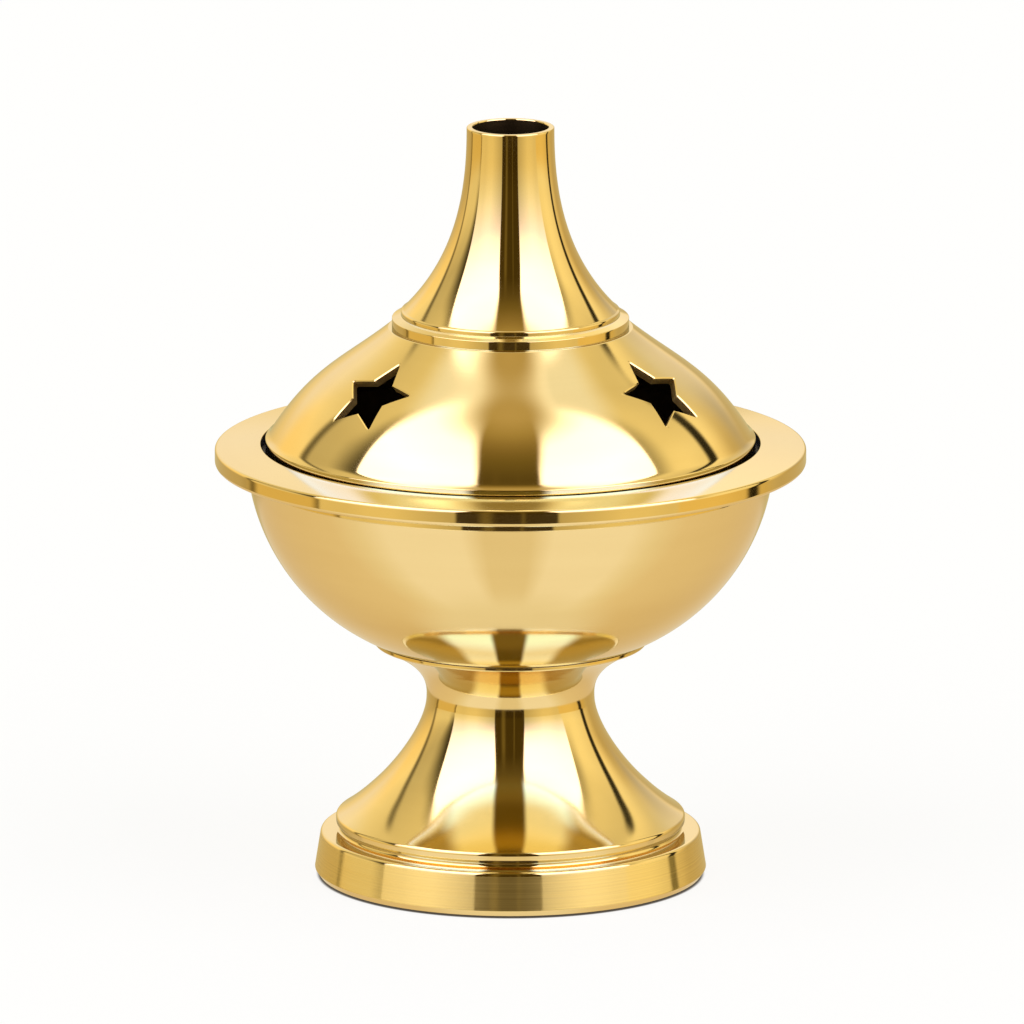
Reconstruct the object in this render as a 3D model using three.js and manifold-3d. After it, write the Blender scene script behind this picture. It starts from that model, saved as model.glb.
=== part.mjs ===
// Cone incense burner of turned brass: a footed bowl with a broad rim, a loose cone dish, and a pierced
// lid with a trumpet chimney. Millimetres, +Z up. The origin is on the axis, at the surface it stands on.

import * as THREE from 'three';
import { mergeVertices } from 'three/addons/utils/BufferGeometryUtils.js';
import Module from 'manifold-3d';

const wasm = await Module();
wasm.setup();

// Facets round a turned piece, and steps along a curve
const bodySides = 36;
const smallSides = 24;
const curveSteps = 6;
const roundSteps = 2;

// Fits
const turnedGap = 0.3; // between turned pieces that slot into one another
const nestGap = 0.2; // between the bowl and the pedestal's cup
const lidGap = 0.6; // open line round the closed lid

// Pedestal, with heights above its seat on the plinth
const pedestalHeight = 22.9;
const cupRadius = 17.9;
const cupLip = 0.3;
const waistRadius = 10.8;
const waistHeight = 17.1;
const coveSlope = -155.5; // headings are in degrees from the outward radius towards +Z
const coveReach = 6.9;
const coveFootSlope = -88;
const coveFootReach = 2.0;
const waistReach = 3.3;
const skirtRadius = 17.2;
const skirtHeight = 5.76;
const skirtSlope = -44.9;
const skirtReach = 4.4;
const bellReach = 2.1;
const bellFootSlope = -33;
const bellFootReach = 2.0;
const bellFootRadius = 22.0;
const bellFootHeight = 1.75;
const bandStep = 0.5; // of the band outside the bell's foot
const bandTop = 1.2;
const bandBottom = 0.44;
const bandRound = 0.15;
const bellWall = 1.6;
const hollowHeight = 11.1;
const footLip = 1.0; // width of the foot outside the plinth's register

// Felt and plinth
const plinthHeight = 5.63;
const plinthStep = 1.92; // of the plinth's top outside the band
const plinthTaper = 0.78;
const plinthEdgeRound = 0.42;
const plinthFootChamfer = 0.75;
const plinthFootSetback = 0.53;
const grooveDepth = 0.6;
const grooveHeight = 0.52;
const grooveFillet = 0.4;
const registerWall = 1.2;
const registerHeight = 1.0;
const feltThickness = 1.0;
const feltProud = 0.25;
const feltMargin = 1.9; // of brass outside the felt
const feltLedge = 1.3; // width of the glued ledge

// Bowl: a belly that is one arc about a circle outside the axis
const bellyRadius = 27.42;
const bellyOffset = 6.51;
const bowlFlatRadius = 11.56;
const bowlHeight = 25.0;
const bowlWall = 1.3;
const bowlFloor = 1.5;

// Rim ring, with heights above the bowl's lip
const rimWidth = 5.95; // from the lid's recess to the outer edge
const rimDraft = 0.17;
const rimEdgeHeight = 1.95;
const rimInnerHeight = 2.5;
const rimEdgeRound = 0.4;
const rimLedgeHeight = 1.1;
const rimLedgeWidth = 1.45;
const rimSpigotWall = 1.35;
const rimSpigotDepth = 2.5;

// Lid, with heights above its seat in the rim
const domeWall = 1.1;
const domeHeight = 16.6;
const domeNeckSlope = -39.3;
const domeNeckReach = 8.3;
const domeFootSlope = -56.5;
const domeFootReach = 8.7;
const domeFootStep = 0.94; // of the lid's flange outside the dome's foot
const domeFootHeight = 3.1;
const flangeHeight = 2.0;
const flangeRound = 0.3;
const flangeFillet = 0.35;
const lidSkirtDepth = 2.2;
const neckStep = 0.46; // of the dome's neck outside the collar

// Star vents, pierced square to the dome; bearings are from the front, towards +X
const ventBearings = [-49.3, 54.4, 139.8, 225.2];
const ventTip = 5.8;
const ventNotch = 2.9;
const ventPoints = 5;
const ventDistance = 10.0; // down the dome from its neck

// Chimney, its collar and the nut that holds both
const chimneyHeight = 24.79;
const chimneyLipRadius = 5.62;
const chimneyLipRound = 0.42;
const chimneyFootRadius = 14.05;
const chimneyFootRound = 0.3;
const chimneyFootHeight = 0.4;
const chimneyNeckReach = 9.5;
const chimneyFootSlope = -45.3;
const chimneyFootReach = 8.7;
const chimneyWall = 0.8;
const tenonStep = 1.85; // of the chimney's foot outside its tenon
const tenonWall = 1.2;
const tenonProud = 0.6;
const collarStep = 1.15; // of the collar outside the chimney's foot
const collarHeight = 1.35;
const collarRound = 0.35;
const collarUndercut = 0.3;
const ringNutWidth = 2.4;
const ringNutHeight = 2.0;
const spannerSlots = 4;
const spannerSlotWidth = 2.4;
const spannerSlotDepth = 0.9;

// Tie bolt, washers and nut
const boltRadius = 2.0;
const boltHole = boltRadius + turnedGap;
const boltHeadRadius = 3.6;
const boltHeadHeight = 2.2;
const boltSlotWidth = 1.0;
const boltSlotDepth = 1.1;
const boltProud = 0.4;
const boltHeadroom = 0.4; // between the bolt's end and the felt
const washerRadius = 4.5;
const washerThickness = 0.8;
const nutHeight = 2.2;
const nutFlats = 7.0;

// Cone dish, its cup and the rivet
const dishBeadRadius = 23.3;
const dishBead = 0.7;
const dishWall = 0.8;
const dishClearance = 1.2; // over the bolt's head
const dishFloorRadius = 16.0;
const dishSlope = 30; // of its side, where it meets the bead
const dishReach = 2.4;
const cupWall = 0.7;
const coneCupRadius = 7.2;
const coneCupHeight = 3.2;
const coneCupFloor = 0.6;
const coneCupDraft = 0.2;
const coneCupFootInset = 0.6;
const rivetRadius = 1.0;
const rivetHeadRadius = 2.1;
const rivetHeadHeight = 0.8;
const rivetTail = 0.5;

// Levels up the axis
const plinthTop = feltProud + plinthHeight;
const pedestalSeat = plinthTop + grooveHeight;
const bowlSeat = pedestalSeat + pedestalHeight;
const bellyCentre = bowlSeat + Math.sqrt(bellyRadius ** 2 - (bowlFlatRadius - bellyOffset) ** 2);
const bowlLip = bowlSeat + bowlHeight;
const lidSeat = bowlLip + rimLedgeHeight;
const domeNeck = lidSeat + domeHeight;
const neckUnderside = domeNeck - domeWall;
const chimneySeat = domeNeck + collarHeight;
const boltEnd = feltThickness + boltHeadroom;
const nutUnderside = boltEnd + boltProud;
const webUnderside = nutUnderside + nutHeight + washerThickness;
const boltHeadSeat = bowlSeat + bowlFloor + washerThickness;
const boltHeadTop = boltHeadSeat + boltHeadHeight;

// Radii that follow their neighbours
const bandRadius = bellFootRadius + bandStep;
const grooveRadius = bandRadius - grooveDepth;
const footBore = grooveRadius - footLip;
const plinthTopRadius = bandRadius + plinthStep;
const plinthFootRadius = plinthTopRadius + plinthTaper;
const feltRadius = plinthFootRadius - feltMargin;
const spigotRadius = bellyAt(bowlLip - rimSpigotDepth, -bowlWall) - turnedGap;
const rimBore = spigotRadius - rimSpigotWall;
const rimInnerRadius = rimBore + rimLedgeWidth;
const rimRadius = rimInnerRadius + rimWidth;
const flangeRadius = rimInnerRadius - lidGap;
const domeFootRadius = flangeRadius - domeFootStep;
const tenonRadius = chimneyFootRadius - tenonStep;
const tenonHole = tenonRadius + turnedGap;
const collarRadius = chimneyFootRadius + collarStep;
const domeNeckRadius = collarRadius + neckStep;

const brass = { color: 0xd9a441, roughness: 0.16, metalness: 1 };
const innerBrass = { color: 0xb98a35, roughness: 0.35, metalness: 1 };
const steel = { color: 0xa8a9ab, roughness: 0.35, metalness: 1 };
const felt = { color: 0x1d3a2a, roughness: 0.95, metalness: 0 };

// One named mesh with its own material
function piece(name, geometry, finish) {
  const mesh = new THREE.Mesh(geometry, new THREE.MeshStandardMaterial(finish));
  mesh.name = name;
  return mesh;
}

// Leaves positions only, with shared vertices merged and triangles without area dropped
function closed(geometry) {
  geometry.deleteAttribute('normal');
  geometry.deleteAttribute('uv');
  const merged = mergeVertices(geometry, 1e-4);
  const corners = merged.index.array;
  const kept = [];
  for (let i = 0; i < corners.length; i += 3) {
    const [a, b, c] = corners.subarray(i, i + 3);
    if (a !== b && b !== c && c !== a) kept.push(a, b, c);
  }
  merged.setIndex(kept);
  return merged;
}

// Twice the signed area of a profile in the plane of radius and height
function turning(profile) {
  return profile.reduce((sum, [r, z], i) => {
    const [r2, z2] = profile[(i + 1) % profile.length];
    return sum + r * z2 - r2 * z;
  }, 0);
}

// A solid of revolution about Z; the profile holds [radius, height] corners and may touch the axis
function turned(profile, sides = bodySides) {
  const ordered = turning(profile) < 0 ? [...profile].reverse() : profile;
  const ring = [...ordered, ordered[0]].map(([r, z]) => new THREE.Vector2(r, z));
  return closed(new THREE.LatheGeometry(ring, sides).rotateX(Math.PI / 2));
}

// A cubic curve between two points, each with a heading in degrees and the length of its handle
function curve(start, leaving, reachOut, end, arriving, reachIn) {
  const handle = (angle, length) => new THREE.Vector2(length, 0)
    .rotateAround(new THREE.Vector2(), THREE.MathUtils.degToRad(angle));
  const a = new THREE.Vector2(...start);
  const d = new THREE.Vector2(...end);
  const b = a.clone().add(handle(leaving, reachOut));
  const c = d.clone().sub(handle(arriving, reachIn));
  return new THREE.CubicBezierCurve(a, b, c, d);
}

function sweep(...ends) {
  return curve(...ends).getPoints(curveSteps).map((p) => [p.x, p.y]);
}

// Points on an arc, with angles in degrees from the outward radius towards +Z
function arc([r, z], radius, from, to, steps = roundSteps) {
  return Array.from({ length: steps + 1 }, (_, i) => {
    const angle = THREE.MathUtils.degToRad(from + (to - from) * i / steps);
    return [r + radius * Math.cos(angle), z + radius * Math.sin(angle)];
  });
}

// A curve moved square to itself, to its right when followed from start to end
function offset(points, distance) {
  return points.map(([r, z], i) => {
    const [r1, z1] = points[Math.max(i - 1, 0)];
    const [r2, z2] = points[Math.min(i + 1, points.length - 1)];
    const length = Math.hypot(r2 - r1, z2 - z1);
    return [r + distance * (z2 - z1) / length, z - distance * (r2 - r1) / length];
  });
}

// Where a run of points first meets a value, on axis 0 for radius or 1 for height, or else its last point
function crossing(points, axis, value) {
  const i = points.findIndex((p, k) => k > 0 && (points[k - 1][axis] - value) * (p[axis] - value) <= 0);
  if (i < 0) return points.at(-1);
  const [a, b] = [points[i - 1], points[i]];
  const share = (value - a[axis]) / (b[axis] - a[axis]);
  return [a[0] + share * (b[0] - a[0]), a[1] + share * (b[1] - a[1])];
}

// The belly's circle, grown or shrunk: radius at a height, and height at a radius
function bellyAt(height, growth) {
  return bellyOffset + Math.sqrt((bellyRadius + growth) ** 2 - (bellyCentre - height) ** 2);
}

function bellyUnder(radius, growth) {
  return bellyCentre - Math.sqrt((bellyRadius + growth) ** 2 - (radius - bellyOffset) ** 2);
}

// The belly's arc between two heights
function belly(low, high, growth, steps = curveSteps) {
  const radius = bellyRadius + growth;
  const turn = (height) => -THREE.MathUtils.radToDeg(Math.asin((bellyCentre - height) / radius));
  return arc([bellyOffset, bellyCentre], radius, turn(low), turn(high), steps);
}

function toManifold(geometry) {
  return new wasm.Manifold(new wasm.Mesh({
    numProp: 3,
    vertProperties: new Float32Array(geometry.attributes.position.array),
    triVerts: new Uint32Array(geometry.index.array),
  }));
}

function cut(geometry, cutters) {
  const solid = cutters.reduce((body, cutter) => body.subtract(toManifold(closed(cutter))),
    toManifold(geometry));
  const mesh = solid.getMesh();
  const result = new THREE.BufferGeometry();
  result.setAttribute('position', new THREE.BufferAttribute(mesh.vertProperties, 3));
  result.setIndex(new THREE.BufferAttribute(mesh.triVerts, 1));
  return result;
}

function washer(name, underside) {
  return piece(name, turned([
    [boltHole, underside],
    [washerRadius, underside],
    [washerRadius, underside + washerThickness],
    [boltHole, underside + washerThickness],
  ], smallSides), steel);
}

// A felt disc in the plinth's underside, just proud of the brass
function baseFelt() {
  return piece('base_felt', turned([
    [0, 0],
    [feltRadius, 0],
    [feltRadius, feltThickness],
    [0, feltThickness],
  ]), felt);
}

// A tapered ring with a web across it, a groove at its top and a register for the pedestal
function plinth() {
  const recess = feltRadius + turnedGap;
  const opening = feltRadius - feltLedge;
  const register = footBore - turnedGap;
  const profile = [
    [boltHole, webUnderside],
    [opening, webUnderside],
    [opening, feltThickness],
    [recess, feltThickness],
    [recess, feltProud],
    [plinthFootRadius - plinthFootSetback, feltProud],
    [plinthFootRadius, feltProud + plinthFootChamfer],
    ...arc([plinthTopRadius - plinthEdgeRound, plinthTop - plinthEdgeRound], plinthEdgeRound, 5, 90),
    ...arc([grooveRadius + grooveFillet, plinthTop + grooveFillet], grooveFillet, 270, 180, 2),
    [grooveRadius, pedestalSeat],
    [register, pedestalSeat],
    [register, pedestalSeat + registerHeight],
    [register - registerWall, pedestalSeat + registerHeight],
    [register - registerWall, pedestalSeat],
    [boltHole, pedestalSeat],
  ];
  return piece('plinth', turned(profile), brass);
}

// Cup, waist and bell in one turned piece, bored for the bolt and hollow in the bell
function pedestal() {
  const at = (height) => pedestalSeat + height;
  const cupInner = cupRadius - cupLip;
  const lipTop = bellyUnder(cupInner, nestGap);
  const waistPoint = [waistRadius, at(waistHeight)];
  const skirtPoint = [skirtRadius, at(skirtHeight)];
  const cove = sweep([cupRadius, lipTop - cupLip], coveSlope, coveReach,
    waistPoint, coveFootSlope, coveFootReach);
  const waist = sweep(waistPoint, -90, waistReach, skirtPoint, skirtSlope, skirtReach);
  const skirt = sweep(skirtPoint, skirtSlope, bellReach,
    [bellFootRadius, at(bellFootHeight)], bellFootSlope, bellFootReach);
  const inside = offset([...waist, ...skirt.slice(1)], bellWall);
  const ceiling = crossing(inside, 1, at(hollowHeight));
  const step = crossing(inside, 1, at(registerHeight + turnedGap));
  const hollow = inside.filter(([r, z]) => z < ceiling[1] && z > step[1]);
  const profile = [
    [boltHole, bowlSeat],
    ...belly(bowlSeat, lipTop, nestGap, roundSteps),
    [cupRadius, lipTop - cupLip / 2],
    ...cove,
    ...waist.slice(1),
    ...skirt.slice(1),
    [bandRadius - bandRound, at(bandTop + bandRound)],
    [bandRadius, at(bandTop)],
    [bandRadius, at(bandBottom + bandRound)],
    [bandRadius - bandRound, at(bandBottom)],
    [grooveRadius, at(bandBottom)],
    [grooveRadius, at(0)],
    [footBore, at(0)],
    [footBore, step[1]],
    step,
    ...hollow.reverse(),
    ceiling,
    [boltHole, ceiling[1]],
  ];
  return piece('pedestal', turned(profile), brass);
}

function bowl() {
  const inside = belly(bowlSeat + bowlFloor, bowlLip, -bowlWall);
  const profile = [
    [boltHole, bowlSeat],
    ...belly(bowlSeat, bowlLip, 0),
    ...inside.reverse(),
    [boltHole, bowlSeat + bowlFloor],
  ];
  return piece('bowl', turned(profile), brass);
}

// A broad ring that drops onto the bowl's lip, with a spigot inside it and a ledge for the lid
function rimRing() {
  const at = (height) => bowlLip + height;
  const profile = [
    [rimBore, at(-rimSpigotDepth)],
    [spigotRadius, at(-rimSpigotDepth)],
    [spigotRadius, at(0)],
    [rimRadius - rimDraft - rimEdgeRound, at(0)],
    [rimRadius - rimDraft, at(rimEdgeRound)],
    ...arc([rimRadius - rimEdgeRound, at(rimEdgeHeight - rimEdgeRound)], rimEdgeRound, 0, 85),
    [rimInnerRadius, at(rimInnerHeight)],
    [rimInnerRadius, at(rimLedgeHeight)],
    [rimBore, at(rimLedgeHeight)],
  ];
  return piece('rim_ring', turned(profile), brass);
}

// The dome's outer curve, from its neck to its foot
const domeCurve = curve([domeNeckRadius, domeNeck], domeNeckSlope, domeNeckReach,
  [domeFootRadius, lidSeat + domeFootHeight], domeFootSlope, domeFootReach);

// A star-shaped bar set square to the dome
function starBar(bearing) {
  const outline = new THREE.Shape(Array.from({ length: 2 * ventPoints }, (_, i) => {
    const reach = i % 2 ? ventNotch : ventTip;
    const angle = Math.PI * i / ventPoints;
    return new THREE.Vector2(reach * Math.sin(angle), reach * Math.cos(angle));
  }));
  const share = ventDistance / domeCurve.getLength();
  const place = domeCurve.getPointAt(share);
  const slope = domeCurve.getTangentAt(share).angle();
  const length = ventTip + 2 * domeWall;
  return new THREE.ExtrudeGeometry(outline, { depth: length, bevelEnabled: false })
    .translate(0, 0, -length / 2)
    .rotateX(2 * Math.PI - slope)
    .translate(0, -place.x, place.y)
    .rotateZ(THREE.MathUtils.degToRad(bearing));
}

function lidDome() {
  const at = (height) => lidSeat + height;
  const skirtOuter = rimBore - turnedGap;
  const skirtInner = skirtOuter - domeWall;
  const outside = domeCurve.getPoints(curveSteps + 3).map((p) => [p.x, p.y]);
  const inside = offset(outside, domeWall);
  const neck = crossing(inside, 1, neckUnderside);
  const foot = crossing(inside, 0, skirtInner);
  const profile = [
    [tenonHole, domeNeck],
    ...outside,
    [domeFootRadius + flangeFillet / 2, at(flangeHeight + flangeFillet)],
    [domeFootRadius + flangeFillet, at(flangeHeight)],
    ...arc([flangeRadius - flangeRound, at(flangeHeight - flangeRound)], flangeRound, 90, 0),
    [flangeRadius, at(0)],
    [skirtOuter, at(0)],
    [skirtOuter, at(-lidSkirtDepth)],
    [skirtInner, at(-lidSkirtDepth)],
    [skirtInner, foot[1]],
    foot,
    ...inside.filter(([r, z]) => z < neck[1] && z > foot[1]).reverse(),
    neck,
    [tenonHole, neckUnderside],
  ];
  return piece('lid_dome', cut(turned(profile), ventBearings.map(starBar)), brass);
}

function chimneyCollar() {
  const profile = [
    [tenonHole, domeNeck],
    [collarRadius - collarUndercut, domeNeck],
    [collarRadius, domeNeck + collarUndercut],
    ...arc([collarRadius - collarRound, chimneySeat - collarRound], collarRound, 0, 90),
    [tenonHole, chimneySeat],
  ];
  return piece('chimney_collar', turned(profile), brass);
}

// A trumpet shell with a rounded lip and a thick foot, and a tenon that passes down into the dome
function chimney() {
  const lipCentre = [chimneyLipRadius - chimneyLipRound, chimneySeat + chimneyHeight - chimneyLipRound];
  const flare = [chimneyFootRadius - chimneyFootRound, chimneySeat + chimneyFootHeight + chimneyFootRound];
  const outside = sweep([chimneyLipRadius, lipCentre[1]], -90, chimneyNeckReach,
    flare, chimneyFootSlope, chimneyFootReach);
  const bore = tenonRadius - tenonWall;
  const inside = offset(outside, chimneyWall);
  const throat = crossing(inside, 0, bore);
  const tenonEnd = neckUnderside - ringNutHeight - tenonProud;
  const profile = [
    ...arc(lipCentre, chimneyLipRound, 150, 0),
    ...outside.slice(1),
    [chimneyFootRadius, chimneySeat + chimneyFootHeight],
    [chimneyFootRadius, chimneySeat],
    [tenonRadius, chimneySeat],
    [tenonRadius, tenonEnd],
    [bore, tenonEnd],
    [bore, throat[1]],
    ...inside.filter(([r]) => r < throat[0]).slice(1).reverse(),
  ];
  return piece('chimney', turned(profile), brass);
}

// A ring nut with slots for a pin spanner
function chimneyRingNut() {
  const radius = tenonRadius + ringNutWidth;
  const underside = neckUnderside - ringNutHeight;
  const ring = turned([
    [tenonHole, neckUnderside],
    [radius, neckUnderside],
    [radius, underside],
    [tenonHole, underside],
  ]);
  const slots = Array.from({ length: spannerSlots }, (_, i) =>
    new THREE.BoxGeometry(ringNutWidth, spannerSlotWidth, 2 * spannerSlotDepth)
      .translate(radius, 0, underside)
      .rotateZ(2 * Math.PI * (i + 0.5) / spannerSlots));
  return piece('chimney_ring_nut', cut(ring, slots), brass);
}

function tieBolt() {
  const round = boltHeadHeight / 3;
  const blank = turned([
    [0, boltEnd],
    [boltRadius, boltEnd],
    [boltRadius, boltHeadSeat],
    [boltHeadRadius, boltHeadSeat],
    [boltHeadRadius, boltHeadTop - round],
    [boltHeadRadius - round, boltHeadTop],
    [0, boltHeadTop],
  ], smallSides);
  const slot = new THREE.BoxGeometry(3 * boltHeadRadius, boltSlotWidth, 2 * boltSlotDepth)
    .translate(0, 0, boltHeadTop);
  return piece('tie_bolt', cut(blank, [slot]), steel);
}

function clampNut() {
  const corner = nutFlats / Math.sqrt(3);
  const hexagon = new THREE.Shape(Array.from({ length: 6 }, (_, i) =>
    new THREE.Vector2(corner, 0).rotateAround(new THREE.Vector2(), Math.PI * i / 3)));
  hexagon.holes.push(new THREE.Path().absarc(0, 0, boltHole, 0, 2 * Math.PI, true));
  const block = new THREE.ExtrudeGeometry(hexagon,
    { depth: nutHeight, bevelEnabled: false, curveSegments: smallSides });
  return piece('clamp_nut', closed(block.translate(0, 0, nutUnderside)), steel);
}

// The dish's rolled bead rests on the belly of the bowl, which sets how high the dish sits
const dishBeadHeight = bellyUnder(dishBeadRadius, -bowlWall - turnedGap - dishBead);
const dishUnderside = boltHeadTop + dishClearance;
const dishFloor = dishUnderside + dishWall;
const rivetHole = rivetRadius + turnedGap;

function coneDish() {
  const beadCentre = [dishBeadRadius, dishBeadHeight];
  const bead = arc(beadCentre, dishBead, dishSlope + 90, dishSlope - 160, 3 * roundSteps);
  const rise = sweep([dishFloorRadius, dishFloor], 0, dishReach, bead[0], dishSlope, dishReach);
  const profile = [
    [rivetHole, dishFloor],
    ...rise,
    ...bead.slice(1),
    ...offset(rise, dishWall).slice(0, -1).reverse(),
    [rivetHole, dishUnderside],
  ];
  return piece('cone_dish', turned(profile), innerBrass);
}

function coneCup() {
  const profile = [
    [rivetHole, dishFloor],
    [coneCupRadius - coneCupDraft - coneCupFootInset, dishFloor],
    [coneCupRadius - coneCupDraft, dishFloor + coneCupFloor],
    [coneCupRadius, dishFloor + coneCupHeight],
    [coneCupRadius - cupWall, dishFloor + coneCupHeight],
    [coneCupRadius - coneCupDraft - cupWall, dishFloor + coneCupFloor],
    [rivetHole, dishFloor + coneCupFloor],
  ];
  return piece('cone_cup', turned(profile, smallSides), innerBrass);
}

// A rivet with a low domed head in the cup and a flat head under the dish
function cupRivet() {
  const headSeat = dishFloor + coneCupFloor;
  const profile = [
    [0, dishUnderside - rivetTail],
    [rivetHeadRadius - rivetTail, dishUnderside - rivetTail],
    [rivetHeadRadius, dishUnderside],
    [rivetRadius, dishUnderside],
    [rivetRadius, headSeat],
    [rivetHeadRadius, headSeat],
    [rivetHeadRadius * Math.SQRT1_2, headSeat + rivetHeadHeight * Math.SQRT1_2],
    [0, headSeat + rivetHeadHeight],
  ];
  return piece('cup_rivet', turned(profile, smallSides), innerBrass);
}

const group = new THREE.Group();
group.add(
  baseFelt(),
  plinth(),
  pedestal(),
  bowl(),
  rimRing(),
  tieBolt(),
  washer('bolt_washer', bowlSeat + bowlFloor),
  washer('nut_washer', webUnderside - washerThickness),
  clampNut(),
  coneDish(),
  coneCup(),
  cupRivet(),
  lidDome(),
  chimneyCollar(),
  chimney(),
  chimneyRingNut(),
);

export default group;
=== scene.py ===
"""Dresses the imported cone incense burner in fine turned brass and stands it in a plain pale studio.

The sizes in the classes are millimetres. The meshes are metres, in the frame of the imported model,
with the burner's axis on Z and the viewer of the photograph towards -Y.
"""

import logging
import math
from dataclasses import dataclass, field
from enum import Enum
from typing import Any, Iterable, Sequence

import bpy
from bpy.types import ID, Material, Mesh, NodeSocket, NodeTree, Object, World
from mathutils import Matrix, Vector

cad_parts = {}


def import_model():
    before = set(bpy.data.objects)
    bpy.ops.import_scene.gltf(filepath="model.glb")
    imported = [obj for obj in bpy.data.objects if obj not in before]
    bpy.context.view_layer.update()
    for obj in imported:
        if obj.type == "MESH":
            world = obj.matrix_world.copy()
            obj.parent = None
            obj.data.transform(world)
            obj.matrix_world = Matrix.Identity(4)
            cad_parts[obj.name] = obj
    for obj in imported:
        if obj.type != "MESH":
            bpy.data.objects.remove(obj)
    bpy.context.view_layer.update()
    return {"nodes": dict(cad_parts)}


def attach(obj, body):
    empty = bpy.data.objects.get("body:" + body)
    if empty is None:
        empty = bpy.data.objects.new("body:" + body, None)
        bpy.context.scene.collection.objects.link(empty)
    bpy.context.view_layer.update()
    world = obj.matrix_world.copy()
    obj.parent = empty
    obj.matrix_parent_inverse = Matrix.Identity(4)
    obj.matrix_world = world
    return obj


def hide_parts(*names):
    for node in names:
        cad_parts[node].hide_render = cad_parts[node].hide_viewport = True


log = logging.getLogger("burner")

MM = 0.001
BODY_SIDES = 288
SMALL_SIDES = 128
RIVET_SIDES = 64
BOLT_HOLE = 2.3
BOWL_SEAT = 29.3

Place = tuple[float, float]
Colour = tuple[float, float, float]


class Body(Enum):
    """The parts of the burner that move apart."""

    BASE = "base"
    DISH = "dish"
    LID = "lid"


class Slot(Enum):
    """The record's material slots of the fine pieces."""

    POLISHED = "polished_brass"
    PLAIN = "plain_brass"
    FELT = "felt"


class Run(Enum):
    """Which finish a run of an outline has."""

    OUTER = 0
    INNER = 1
    SIDE = 2


def put(name: str, data: ID) -> Object:
    """Puts a mesh or camera into the scene as a new object."""
    made = bpy.data.objects.new(name, data)
    bpy.context.scene.collection.objects.link(made)
    return made


def new_mesh(name: str, corners: Sequence[Any], edges: Sequence[Any] = (),
             faces: Sequence[Any] = ()) -> Mesh:
    """Makes a mesh from its corners, and its edges or faces by their corners' numbers."""
    made = bpy.data.meshes.new(name)
    made.from_pydata(corners, edges, faces)
    return made


def label_mesh(mesh: Mesh, name: str, domain: str, values: Sequence[float]) -> None:
    """Gives every point or face of a mesh a number, which a geometry tree reads by its name."""
    mesh.attributes.new(name, "FLOAT", domain).data.foreach_set("value", values)


# Nodes


class Wire:
    """A node's output that can stand in a sum, which adds the Math nodes for it."""

    def __init__(self, bench: "Bench", socket: NodeSocket) -> None:
        """Wraps one output socket of the bench's tree."""
        self.bench = bench
        self.socket = socket

    def math(self, operation: str, *others: Any) -> "Wire":
        """What a Math node makes of this and the others."""
        return self.bench.math(operation, self, *others)

    def __add__(self, other: Any) -> "Wire":
        """The sum of both."""
        return self.math("ADD", other)

    __radd__ = __add__

    def __sub__(self, other: Any) -> "Wire":
        """This less the other."""
        return self.math("SUBTRACT", other)

    def __rsub__(self, other: Any) -> "Wire":
        """The other less this."""
        return self.bench.math("SUBTRACT", other, self)

    def __mul__(self, other: Any) -> "Wire":
        """The product of both."""
        return self.math("MULTIPLY", other)

    __rmul__ = __mul__

    def __truediv__(self, other: Any) -> "Wire":
        """This over the other."""
        return self.math("DIVIDE", other)

    def __mod__(self, other: Any) -> "Wire":
        """What is left of this after whole steps of the other."""
        return self.math("MODULO", other)

    def __abs__(self) -> "Wire":
        """This without its sign."""
        return self.math("ABSOLUTE")

    def rise(self, low: Any, high: Any) -> "Wire":
        """A smooth step from 0 at the low value to 1 at the high one."""
        return self.bench.node("ShaderNodeMapRange", {"Value": self, "From Min": low, "From Max": high},
                               interpolation_type="SMOOTHSTEP")

    def fall(self, low: Any, high: Any) -> "Wire":
        """A smooth step from 1 at the low value to 0 at the high one."""
        return 1.0 - self.rise(low, high)

    def hump(self, centre: float, half_width: float) -> "Wire":
        """1 at the centre, falling smoothly to 0 at the half width on either side."""
        return abs(self - centre).fall(0.0, half_width)

    def toward(self, other: Any, share: Any) -> "Wire":
        """This mixed with a share of the other."""
        return self + (other - self) * share


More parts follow.
